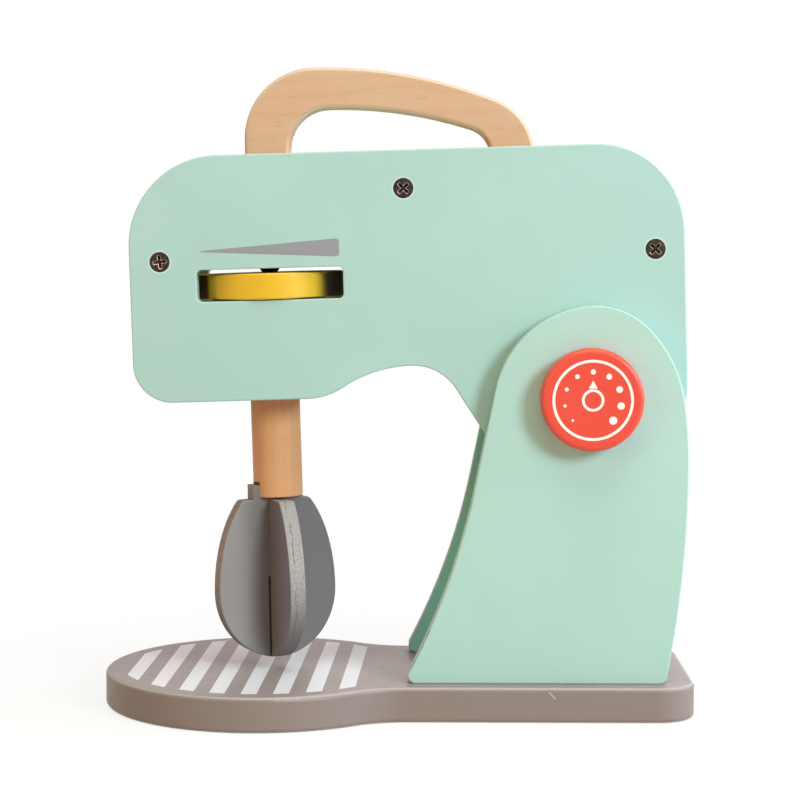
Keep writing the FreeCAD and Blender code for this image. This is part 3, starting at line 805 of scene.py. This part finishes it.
def dress(finish: Finish, nodes: Iterable[str]) -> None:
    """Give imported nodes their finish.

    Args:
        finish: The finish.
        nodes: Names of the nodes.
    """
    for name in nodes:
        for slot in frame["nodes"][name].material_slots:
            slot.material = finish.material()
        LOG.info("node %s finished in %s", name, finish.name)


def spin(degrees: float, axis: str, size: int = 4) -> Matrix:
    """Turn about a main axis, as a matrix of this size."""
    return Matrix.Rotation(math.radians(degrees), size, axis)


def whole(faces: Sequence[bmesh.types.BMFace]) -> Geometry:
    """Faces with their edges and corners."""
    return [*{e for f in faces for e in f.edges}, *faces, *{v for f in faces for v in f.verts}]


def round_corners(shape: Shape, corners: Sequence[bmesh.types.BMVert],
                  radius: float, segments: int = 3) -> None:
    """Round corners of flat faces; the radius is in millimetres."""
    bmesh.ops.bevel(shape, geom=corners, offset=radius * MM, offset_type="OFFSET",
                    affect="VERTICES", segments=segments, profile=0.5, material=-1)


@dataclass(frozen=True)
class Printing:
    """Thin ink layers, made flat on z = 0 and then placed.

    Attributes:
        thick: Thickness of the ink, in millimetres.
        sunk: How deep its underside sits in the paint.
    """

    thick: float = 0.05
    sunk: float = 0.02

    def lift(self, ink: Shape) -> None:
        """Give every flat face its thickness, from just under z = 0 upwards.

        Args:
            ink: The bmesh of the ink.
        """
        made = bmesh.ops.extrude_face_region(ink, geom=list(ink.faces))
        raised = [v for v in made["geom"] if isinstance(v, bmesh.types.BMVert)]
        bmesh.ops.translate(ink, verts=raised, vec=(0, 0, self.thick * MM))
        bmesh.ops.translate(ink, verts=ink.verts, vec=(0, 0, -self.sunk * MM))

    def disc(self, ink: Shape, x: float, y: float, radius: float,
             segments: int = 48) -> list[bmesh.types.BMFace]:
        """Lay one flat disc down; sizes in millimetres.

        Args:
            ink: The bmesh of the ink.
            x: Middle of the disc.
            y: Middle of the disc.
            radius: Its radius.
            segments: Number of its sides.

        Returns:
            Its one face.
        """
        spot = Matrix.Translation((x * MM, y * MM, 0))
        made = bmesh.ops.create_circle(ink, cap_ends=True, segments=segments,
                                       radius=radius * MM, matrix=spot)
        return list({f for v in made["verts"] for f in v.link_faces})


@dataclass(frozen=True)
class CrossHeadScrew:
    """Countersunk cross-head screw, head up on z = 0. Sizes in millimetres.

    Attributes:
        length: From the head to the tip.
        head_radius: Radius of the head.
        head_depth: Depth of the cone.
        neck_radius: Radius at the foot of the cone.
        shank_radius: Radius of the shank.
        rim_chamfer: Chamfer round the head.
        recess_width: Width of the cross arms.
        recess_reach: Half length of the cross.
        recess_depth: Depth of the cross.
        lip: Width of the bright worn edge round the cross.
    """

    length: float = 24.0
    head_radius: float = 4.0
    head_depth: float = 2.4
    neck_radius: float = 2.0
    shank_radius: float = 2.0
    rim_chamfer: float = 0.3
    recess_width: float = 1.5
    recess_reach: float = 2.75
    recess_depth: float = 1.6
    lip: float = 0.22

    CHAMFER_DROP, RIM_DEPTH, TIP_LENGTH, TIP_RADIUS = 0.12, 0.4, 4.0, 0.4
    RECESS_ROUND, RECESS_TAPER, LIP_SUNK = 0.42, 0.45, 0.16
    OXIDE: ClassVar[Steel] = Steel("screw_oxide", Tone(76, 62, 55), Tone(46, 36, 32))
    WORN: ClassVar[Steel] = Steel("screw_worn_lip", Tone(214, 192, 178), Tone(120, 100, 88), 0.25)

    def into(self, screws: Shape, place: Matrix) -> None:
        """Add one screw.

        Args:
            screws: The bmesh that holds the screws of a piece.
            place: Puts the screw where it belongs.
        """
        one = bmesh.new()
        self.turn_body(one)
        self.press_cross(one)
        bmesh.ops.transform(one, matrix=place, verts=one.verts)
        mesh = bpy.data.meshes.new("screw_in_work")
        one.to_mesh(mesh)
        one.free()
        screws.from_mesh(mesh)
        bpy.data.meshes.remove(mesh)

    def turn_body(self, one: Shape) -> None:
        """Spin the outline of head, shank and tip, and close the head with one flat face.

        Args:
            one: The bmesh of the screw.
        """
        step = 0.01
        outline = [(self.head_radius - self.rim_chamfer, 0.0),
                   (self.head_radius, -self.CHAMFER_DROP),
                   (self.head_radius, -self.RIM_DEPTH), (self.neck_radius, -self.head_depth),
                   (self.shank_radius, -self.head_depth - step),
                   (self.shank_radius, self.TIP_LENGTH - self.length),
                   (self.TIP_RADIUS, -self.length), (0.0, -self.length)]
        chain = [one.verts.new((r * MM, 0, z * MM)) for r, z in outline]
        edges = [one.edges.new(pair) for pair in zip(chain, chain[1:])]
        bmesh.ops.spin(one, geom=chain + edges, cent=(0, 0, 0), axis=(0, 0, 1),
                       angle=math.tau, steps=48, use_merge=True)
        bmesh.ops.remove_doubles(one, verts=one.verts, dist=TINY)
        bmesh.ops.contextual_create(one, geom=[e for e in one.edges if e.is_boundary])

    def press_cross(self, one: Shape) -> None:
        """Cut the cross out of the head's face, sink it and brighten its lip.

        Args:
            one: The bmesh of the screw.
        """
        half, reach = self.recess_width / 2 * MM, self.recess_reach * MM
        top, central = -1e-6, 0.05 * MM
        for axis in ((1, 0, 0), (0, 1, 0)):
            for at in (-reach, -half, half, reach):
                flat = [f for f in one.faces if f.calc_center_median().z > top]
                bmesh.ops.bisect_plane(one, geom=whole(flat), plane_co=Vector(axis) * at,
                                       plane_no=axis)
        cross = []
        for face in one.faces:
            spot = face.calc_center_median()
            low, high = sorted((abs(spot.x), abs(spot.y)))
            if spot.z > top and low < half and high < reach:
                cross.append(face)
        arms = bmesh.ops.dissolve_faces(one, faces=cross)["region"]
        inner = half * 1.6
        round_corners(one, [v for v in arms[0].verts if v.co.length > inner], self.RECESS_ROUND)
        arms = [max((f for f in one.faces if f.calc_center_median().length < central),
                    key=lambda f: f.calc_area())]
        lips = bmesh.ops.inset_region(one, faces=arms, thickness=self.lip * MM,
                                      depth=-self.LIP_SUNK * MM, use_even_offset=True)["faces"]
        for face in lips:
            face.material_index = 1
        floor = bmesh.ops.extrude_discrete_faces(one, faces=arms)["faces"][0].verts
        bmesh.ops.translate(one, verts=floor, vec=(0, 0, -self.recess_depth * MM))
        bmesh.ops.scale(one, verts=floor, vec=(self.RECESS_TAPER, self.RECESS_TAPER, 1.0))


def joint_place(name: str) -> Vector:
    """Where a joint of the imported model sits, in metres."""
    return Vector(next(j["pos_m"] for j in frame["joints"] if j["name"] == name))


@dataclass(frozen=True)
class HeadPose:
    """Turns level head sizes, measured from the pivot, into the rest pose.

    Attributes:
        droop: How far the nose hangs at rest, in degrees.
    """

    droop: float = 1.7

    def matrix(self) -> Matrix:
        """From level head sizes, in metres, to the frame."""
        return Matrix.Translation(joint_place("head_tilt")) @ spin(-self.droop, "Y")

    def point(self, x: float, z: float) -> Span:
        """Place of a level point given in millimetres; returns (x, z) in metres."""
        spot = self.matrix() @ Vector((x * MM, 0, z * MM))
        return (spot.x, spot.z)


PRINTING = Printing()
HEAD_POSE = HeadPose()
UPRIGHT = spin(90, "X")

MINT = Tone(174, 206, 202)
MINT_SHADE = Tone(170, 203, 198)
# Lighter on the rounded edges: thin paint and a painted highlight.
MINT_RIM = Tone(193, 217, 215)
# Cut edges: paint that drank more, and painted shade.
MINT_EDGE = Tone(166, 200, 191)

BAR_BEECH = BareWood("stop_bar_beech", Tone(226, 178, 132), Tone(206, 150, 104),
                     Tone(170, 112, 72), turn=(90.0, 0.0, 0.0))
BLOCK_BEECH = BareWood("inner_beech", Tone(222, 184, 146), Tone(204, 162, 122),
                       Tone(168, 124, 88), pitch=0.005)


# ---- stand
@dataclass
class Stand:
    """Base board with its bowl stripes, the column plates and the stop bar.

    Attributes:
        bowl_centre: Middle of the round end, along X.
        stripe_field: Radius of the striped disc.
        stripe_count: Number of stripes.
        stripe_first: Left edge of the first stripe, from the middle of the disc.
        stripe_pitch: From one stripe to the next.
        stripe_width: Width of a stripe.
        stripe_lean: Turn of the stripes from straight across, in degrees.
        screw_places: Base screws along X, from the pivot.
        screw_length: Length of the base screws.
        screw_sunk: How far the heads lie under the surface.
    """

    bowl_centre: float = -53.9
    stripe_field: float = 57.4
    stripe_count: int = 8
    stripe_first: float = -53.0
    stripe_pitch: float = 12.41
    stripe_width: float = 6.1
    stripe_lean: float = 1.9
    screw_places: Span = (-46.5, 11.5)
    screw_length: float = 34.0
    screw_sunk: float = 0.15
    base_paint: ScratchedPaint = ScratchedPaint(
        "base_grey_paint", Tone(149, 135, 139), Tone(144, 130, 131), Tone(196, 186, 186),
        edge=Tone(141, 125, 121), across=(0.0, 0.0, 1.0), scratch_from=(0.0602, -0.0449, 0.0125),
        scratch_to=(0.0630, -0.0449, 0.0094))
    # The column's inner faces carry painted bounce light, a deeper green between the two plates.
    column_paint: SprayedPaint = SprayedPaint(
        "column_mint_paint", Tone(178, 212, 204), Tone(174, 209, 201), MINT_RIM, MINT_EDGE,
        inside=Tone(156, 226, 208))
    bar_wood: BareWood = BAR_BEECH
    stripe_ink: ScreenInk = ScreenInk("bowl_stripe_ink", Tone(230, 228, 240), Tone(221, 217, 228))

    def build(self) -> None:
        """Dress the nodes and add the stripes and screws."""
        dress(self.base_paint, ["base_board"])
        dress(self.column_paint, ["column_plate_front", "column_plate_rear"])
        dress(self.bar_wood, ["stop_bar"])
        self.stripes()
        self.screws()

    def stripes(self) -> Thing:
        """Print the stripes under the bowl, cut out of a disc.

        Returns:
            The piece.
        """
        ink = bmesh.new()
        lean = math.radians(self.stripe_lean)
        across = Vector((math.cos(lean), -math.sin(lean), 0))
        for number in range(self.stripe_count):
            faces = PRINTING.disc(ink, 0, 0, self.stripe_field, 256)
            left = self.stripe_first + number * self.stripe_pitch
            for edge, is_left in ((left, True), (left + self.stripe_width, False)):
                cut = bmesh.ops.bisect_plane(ink, geom=whole(faces), plane_co=across * edge * MM,
                                             plane_no=across, clear_inner=is_left,
                                             clear_outer=not is_left)
                faces = [g for g in cut["geom"] if isinstance(g, bmesh.types.BMFace)]
        PRINTING.lift(ink)
        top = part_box("base_board")[1].z
        bmesh.ops.translate(ink, verts=ink.verts, vec=(self.bowl_centre * MM, 0, top))
        return shown_piece("bowl_stripes", ink, [self.stripe_ink], Body.STAND)

    def screws(self) -> Thing:
        """Drive four screws up through the base into the column plates.

        Returns:
            The piece.
        """
        steel = bmesh.new()
        screw = CrossHeadScrew(length=self.screw_length)
        pivot = joint_place("head_tilt")
        low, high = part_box("column_plate_rear")
        middle = (low.y + high.y) / 2
        for number, along in enumerate(self.screw_places):
            for side in Side:
                spot = Vector((pivot.x + along * MM, side.value * middle, self.screw_sunk * MM))
                turn = spin(15 * number + 20 * side.value, "Z")  # no two crosses alike
                screw.into(steel, Matrix.Translation(spot) @ spin(180, "X") @ turn)
        made = shown_piece("cross_screws_base", steel, [screw.OXIDE, screw.WORN], Body.STAND)
        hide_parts("base_screws")
        return made


# ---- head
@dataclass
class Head:
    """Head plates with the speed wedge, the blocks between them, the handle and the screws.

    Attributes:
        screw_places: Screws from the pivot, in the level head: x, z and turn of the cross.
        screw_length: Length of the screws.
        screw_sunk: How far the heads lie under the surface.
        wedge: Corners of the speed wedge from the pivot, in the level head.
        wedge_rounds: Radius at each corner.
        painted_inside_shade: Painted shade on the faces between the plates.
    """

    screw_places: tuple[Triple, ...] = (
        (-167.4, 57.75, 7.0), (-70.85, 83.95, 44.0), (27.35, 57.4, 46.0))
    screw_length: float = 24.0
    screw_sunk: float = 0.15
    wedge: tuple[Span, ...] = (
        (-151.15, 61.15), (-96.7, 57.95), (-96.7, 65.15), (-151.15, 61.65))
    wedge_rounds: tuple[float, ...] = (0.2, 1.3, 1.3, 0.2)
    # Painted shade inside the head, between its plates.
    painted_inside_shade: Tone = Tone(132, 166, 152)
    # The handle carries a painted green reflection underneath and a painted highlight on its upper
    # rounded edges.
    handle_wood: BareWood = BareWood(
        "handle_maple_wood", Tone(211, 175, 147), Tone(199, 156, 126), Tone(179, 135, 107),
        turn=(0.0, -90.0, 0.0), pitch=0.009, wander=0.03, line_share=0.3, fleck_share=0.16,
        under=Tone(206, 214, 190), up_edge_highlight=Tone(224, 197, 170))
    block_wood: BareWood = BLOCK_BEECH
    boss_wood: BareWood = replace(BLOCK_BEECH, name="boss_beech", turn=(90.0, 0.0, 0.0))
    wedge_ink: ScreenInk = ScreenInk("speed_wedge_ink", Tone(149, 146, 155), Tone(145, 146, 153))

    def build(self) -> None:
        """Dress the nodes and add the wedge and screws."""
        seats = tuple(HEAD_POSE.point(x, z) for x, z, _ in self.screw_places)
        paint = SprayedPaint("head_mint_paint", MINT, MINT_SHADE, MINT_RIM, MINT_EDGE,
                             self.painted_inside_shade, seats=seats)
        dress(paint, ["head_plate_front", "head_plate_rear"])
        dress(self.handle_wood, ["handle"])
        dress(self.block_wood, ["nose_block", "tail_block", "top_rail", "shaft_guide"])
        dress(self.boss_wood, ["pivot_boss"])
        self.speed_wedge()
        for side in Side:
            self.screws(side)

    def speed_wedge(self) -> Thing:
        """Print the wedge over the front window, thin on the left.

        Returns:
            The piece.
        """
        ink = bmesh.new()
        corners = [ink.verts.new((x * MM, z * MM, 0)) for x, z in self.wedge]
        ink.faces.new(corners)
        for corner, radius in zip(corners, self.wedge_rounds):
            round_corners(ink, [corner], radius, 5)
        PRINTING.lift(ink)
        face = abs(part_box("head_plate_front")[0].y)
        place = HEAD_POSE.matrix() @ Matrix.Translation((0, -face, 0)) @ UPRIGHT
        bmesh.ops.transform(ink, matrix=place, verts=ink.verts)
        return shown_piece("speed_wedge", ink, [self.wedge_ink], Body.HEAD)

    def screws(self, side: Side) -> Thing:
        """Drive three screws through one head plate.

        Args:
            side: The side of the plate.

        Returns:
            The piece.
        """
        steel = bmesh.new()
        screw = CrossHeadScrew(length=self.screw_length)
        face = abs(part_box("head_plate_front")[0].y) - self.screw_sunk * MM
        for x, z, turn in self.screw_places:
            spot = Vector((x * MM, side.value * face, z * MM))
            cross = spin(turn if side is Side.FRONT else 90 - 2 * turn, "Z")
            screw.into(steel, HEAD_POSE.matrix() @ Matrix.Translation(spot)
                       @ spin(-90 * side.value, "X") @ cross)
        name = side.name.lower()
        made = shown_piece("cross_screws_" + name, steel, [screw.OXIDE, screw.WORN], Body.HEAD)
        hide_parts("head_screws_" + name)
        return made


# ---- beater
@dataclass
class Beater:
    """Dowel shaft, dial, dial screw and the two crossed blades.

    Attributes:
        blade_angle: Turn of the tabbed blade from the X axis, in degrees.
        blade_lean: Lean of the blades in their slot, in degrees.
        blade_shift: How far they sit along the slot.
        blade_half: Half of a blade's thickness.
        shaft_ahead: Shaft axis ahead of the pivot.
        screw_ahead: Dial screw ahead of the pivot.
        cross_shaded_tone: Paint on the faces of the cross blade at its paler end, darkened as
            painted shade.
        tabbed_edge: Paint on the cut edge of the tabbed blade, warmer with painted warm light from
            the left.
    """

    blade_angle: float = 25.0
    blade_lean: float = 0.7
    blade_shift: float = 2.1
    blade_half: float = 3.4
    shaft_ahead: float = 125.6
    screw_ahead: float = 126.1
    cross_shaded_tone: Tone = Tone(127, 121, 133)
    tabbed_edge: Tone = Tone(170, 154, 152)
    shaft_wood: BareWood = BareWood(
        "shaft_beech", Tone(221, 166, 123), Tone(207, 148, 103), Tone(183, 122, 81),
        pitch=0.0045, wander=0.012, line_share=0.25, fleck_share=0.1, roughness=0.5)
    # The dial gets painted shade close to other parts and at its two ends inside the head.
    dial_paint: SprayedPaint = SprayedPaint(
        "dial_yellow_paint", Tone(233, 186, 39), Tone(230, 180, 33), Tone(236, 198, 71),
        across=(0.0, 0.0, 1.0), rim_share=0.3, roughness=0.35, painted_shade_reach=0.009)

    def build(self) -> None:
        """Dress the nodes and add the dial screw."""
        dress(self.shaft_wood, ["beater_shaft"])
        dress(self.dial_paint, ["dial_wheel"])
        lean = HEAD_POSE.matrix().to_3x3() @ spin(self.blade_angle, "Z", 3)
        lean = lean @ spin(self.blade_lean, "Y", 3)
        middle = HEAD_POSE.matrix() @ Vector((-self.shaft_ahead * MM, 0, 0))
        middle += lean @ Vector((-self.blade_shift * MM, 0, 0))
        long_way, cross_way = tuple(lean.col[0]), tuple(lean.col[1])
        blade = BladePaint("beater_blade_tabbed_paint", edge=self.tabbed_edge, slot_side=-1.0,
                           along=long_way, across=cross_way, middle=tuple(middle),
                           half=self.blade_half * MM)
        dress(blade, ["beater_blade_tabbed"])
        dress(replace(blade, name="beater_blade_cross_paint", tone=self.cross_shaded_tone,
                      edge=BladePaint.edge, slot_side=0.0, along=cross_way, across=long_way),
              ["beater_blade_cross"])
        self.dial_screw()

    def dial_screw(self) -> Thing:
        """Drive the screw that clamps the dial to the shaft.

        Returns:
            The piece.
        """
        steel = bmesh.new()
        screw = CrossHeadScrew(length=22.0, head_radius=4.4, head_depth=2.3, neck_radius=3.1)
        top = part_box("dial_screw")[1].z
        pose = HEAD_POSE.matrix()
        axis = pose.to_3x3() @ Vector((0, 0, 1))
        foot = pose @ Vector((-self.screw_ahead * MM, 0, 0))
        spot = foot + axis * ((top - foot.z) / axis.z)
        place = Matrix.Translation(spot) @ pose.to_3x3().to_4x4()
        screw.into(steel, place @ spin(10, "Z"))
        made = shown_piece("cross_screw_dial", steel, [screw.OXIDE, screw.WORN], Body.BEATER)
        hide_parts("dial_screw")
        return made


# ---- knobs
@dataclass
class Knobs:
    """Pivot axle and the two turned knobs; the front one has a printed speed motif.

    Attributes:
        ring_radius: Outer radius of the printed ring.
        ring_width: Its width.
        dot_circle: Radius of the circle that the dots lie on.
        dot_first: Angle of the first dot, in degrees from +X.
        dot_sweep: Angle from the first dot to the last, clockwise.
        dot_sizes: Radius of each dot.
        pointer_length: From the middle to the pointer's tip.
        pointer_radius: Radius of the circle round the pointer's triangle, before it is moved out.
        pointer_round: Rounding of its tip.
        hub_radius: Outer radius of the small ring in the middle.
        hub_width: Its width.
    """

    ring_radius: float = 15.65
    ring_width: float = 1.05
    dot_circle: float = 11.0
    dot_first: float = 225.0
    dot_sweep: float = 270.0
    dot_sizes: tuple[float, ...] = (0.5, 0.62, 0.75, 0.88, 1.0, 1.13, 1.27, 1.4, 1.55)
    pointer_length: float = 7.6
    pointer_radius: float = 2.0
    pointer_round: float = 0.2
    hub_radius: float = 4.3
    hub_width: float = 1.0
    knob_paint: SprayedPaint = SprayedPaint(
        "knob_red_paint", Tone(233, 77, 59), Tone(229, 71, 53), Tone(235, 103, 83),
        rim_share=0.25, roughness=0.3)
    axle_wood: BareWood = replace(BAR_BEECH, name="axle_beech")
    motif_ink: ScreenInk = ScreenInk("knob_motif_ink", Tone(255, 248, 245), Tone(253, 240, 235))

    def build(self) -> None:
        """Dress the nodes and print the motif."""
        dress(self.knob_paint, ["knob_front", "knob_rear"])
        dress(self.axle_wood, ["pivot_axle"])
        self.motif()

    def ring(self, ink: Shape, radius: float, width: float) -> None:
        """Lay a flat ring down about the middle; sizes in millimetres.

        Args:
            ink: The bmesh of the ink.
            radius: Outer radius.
            width: Width of the ring.
        """
        faces = PRINTING.disc(ink, 0, 0, radius, 128)
        bmesh.ops.inset_region(ink, faces=faces, thickness=width * MM, use_boundary=True,
                               use_even_offset=True)
        bmesh.ops.delete(ink, geom=faces, context="FACES_ONLY")

    def motif(self) -> Thing:
        """Print ring, growing dots and a pointer on the front knob's face.

        Returns:
            The piece.
        """
        ink = bmesh.new()
        self.ring(ink, self.ring_radius, self.ring_width)
        self.ring(ink, self.hub_radius, self.hub_width)
        step = self.dot_sweep / (len(self.dot_sizes) - 1)
        for number, size in enumerate(self.dot_sizes):
            angle = math.radians(self.dot_first - number * step)
            PRINTING.disc(ink, self.dot_circle * math.cos(angle),
                          self.dot_circle * math.sin(angle), size)
        pointer = PRINTING.disc(ink, 0, 0, self.pointer_radius, 3)[0]
        tip = max(pointer.verts, key=lambda v: v.co.y)
        for vert in pointer.verts:
            vert.co.y += (self.pointer_length - self.pointer_radius) * MM
        round_corners(ink, [tip], self.pointer_round)
        PRINTING.lift(ink)
        pivot = joint_place("knob_turn")
        place = Matrix.Translation((pivot.x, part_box("knob_front")[0].y, pivot.z)) @ UPRIGHT
        bmesh.ops.transform(ink, matrix=place, verts=ink.verts)
        return shown_piece("knob_motif", ink, [self.motif_ink], Body.KNOBS)


# ---- studio
@dataclass(frozen=True)
class Lamp:
    """Square area lamp.

    Attributes:
        name: Its name.
        place: Where it hangs.
        side: Side of the square.
        power: Power in watts.
        tone: Colour of its light.
    """

    name: str
    place: Triple
    side: float
    power: float
    tone: Tone

    def hang(self, target: Triple) -> None:
        """Hang the lamp up and point it at a target.

        Args:
            target: The target, in metres.
        """
        data = bpy.data.lights.new(self.name, "AREA")
        data.size = self.side
        data.energy = self.power
        data.color = self.tone.rgba()[:3]
        lamp = link(bpy.data.objects.new(self.name, data))
        lamp.location = self.place
        aim = Vector(target) - Vector(self.place)
        lamp.rotation_euler = aim.to_track_quat("-Z", "Y").to_euler()


@dataclass
class Studio:
    """Camera, floor, lamps and world.

    Attributes:
        eye: Place of the camera.
        pitch: How far it looks down, in degrees.
        yaw: How far it looks to the left of straight ahead, in degrees.
        roll: Turn about its own axis, in degrees.
        lens: Focal length, in millimetres.
        floor_size: Half size of the floor.
        floor_fade: Distances from the middle between which the floor turns pure white.
        lamps: The lamps.
        target: What they point at.
    """

    eye: Triple = (0.00915, -0.875, 0.18747)
    pitch: float = 4.195
    yaw: float = 0.492
    roll: float = 0.048
    lens: float = 96.975
    floor_size: float = 4.0
    floor_fade: Span = (0.12, 0.27)
    lamps: tuple[Lamp, ...] = (
        Lamp("key_lamp", (1.145, -1.338, 0.8), 0.52, 25.2, Tone(226, 249, 251)),
        Lamp("front_top_lamp", (0.1, -0.4, 1.4), 1.0, 10.6, Tone(248, 253, 232)),
        Lamp("right_lamp", (1.3, 0.0, 0.5), 0.8, 13.0, Tone(222, 225, 245)),
        Lamp("left_lamp", (-0.9, -0.9, 0.5), 0.6, 3.4, Tone(255, 228, 150)),
        Lamp("back_lamp", (0.35, 1.1, 0.8), 0.8, 4.6, Tone(252, 242, 226)))
    target: Triple = (0.02, 0.0, 0.1)

    SENSOR_MM, CLIP, FLOOR_DROP, FLOOR_GLOW, WORLD_LIGHT = 36.0, (0.05, 50.0), 0.0002, 0.84, 0.2
    WHITE, FLOOR_BOUNCE, WORLD_BOUNCE = (
        (1.0, 1.0, 1.0, 1.0), (0.56, 0.5, 0.46, 1.0), (1.0, 0.6, 0.5, 1.0))

    def build(self) -> None:
        """Set everything up."""
        self.camera()
        self.floor()
        for lamp in self.lamps:
            lamp.hang(self.target)
        self.world()
        bpy.context.scene.view_settings.view_transform = "Standard"

    def camera(self) -> None:
        """The camera."""
        data = bpy.data.cameras.new("camera")
        data.lens = self.lens
        data.sensor_width = self.SENSOR_MM
        data.clip_start, data.clip_end = self.CLIP
        camera = link(bpy.data.objects.new("camera", data))
        camera.location = self.eye
        turn = spin(self.yaw, "Z", 3) @ spin(90 - self.pitch, "X", 3) @ spin(self.roll, "Z", 3)
        camera.rotation_euler = turn.to_euler()
        bpy.context.scene.camera = camera

    def floor(self) -> None:
        """White floor that fades into the white backdrop and keeps a soft shadow."""
        plate = bmesh.new()
        bmesh.ops.create_grid(plate, x_segments=1, y_segments=1, size=self.floor_size)
        mesh = bpy.data.meshes.new("floor")
        plate.to_mesh(mesh)
        plate.free()
        made = bpy.data.materials.new("floor_white")
        tree = emptied_tree(made)
        seen = self.seen_ray(tree)
        away = Wire(add_node(tree, "ShaderNodeTexCoord").outputs["Object"]).length()
        card = seen.into("ShaderNodeBsdfDiffuse",
                         {"Color": seen.blend(self.FLOOR_BOUNCE, self.WHITE)})
        glow = seen.into("ShaderNodeEmission", {"Color": self.WHITE, "Strength": 1.0})
        share = seen * away.fade(*self.floor_fade, self.FLOOR_GLOW)
        mixed = share.into("ShaderNodeMixShader", {0: share, 1: card, 2: glow})
        add_node(tree, "ShaderNodeOutputMaterial", {"Surface": mixed})
        mesh.materials.append(made)
        floor = link(bpy.data.objects.new("floor", mesh))
        floor.location.z = -self.FLOOR_DROP

    def seen_ray(self, tree: bpy.types.NodeTree) -> Wire:
        """1 for rays from the camera, off gloss and through glass, else 0."""
        path = add_node(tree, "ShaderNodeLightPath").outputs
        return reduce(Wire.larger, (Wire(path["Is " + kind + " Ray"])
                                    for kind in ("Camera", "Glossy", "Transmission")))

    def world(self) -> None:
        """White world for the camera, softer and warmer as light."""
        world = bpy.data.worlds.new("studio_world")
        tree = emptied_tree(world)
        seen = self.seen_ray(tree)
        light = seen.into("ShaderNodeBackground", {"Color": self.WORLD_BOUNCE,
                                                   "Strength": self.WORLD_LIGHT})
        white = seen.into("ShaderNodeBackground", {"Color": self.WHITE, "Strength": 1.0})
        mixed = seen.into("ShaderNodeMixShader", {0: seen, 1: light, 2: white})
        add_node(tree, "ShaderNodeOutputWorld", {"Surface": mixed})
        bpy.context.scene.world = world


def write_sizes() -> None:
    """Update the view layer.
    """
    bpy.context.view_layer.update()


def main() -> None:
    """Build the toy and its studio."""
    logging.basicConfig(level=logging.INFO, format="%(name)s: %(message)s")
    for assembly in (Studio(), Stand(), Head(), Beater(), Knobs()):
        LOG.info("building %s", type(assembly).__name__)
        assembly.build()
    write_sizes()


if __name__ == "__main__":
    main()
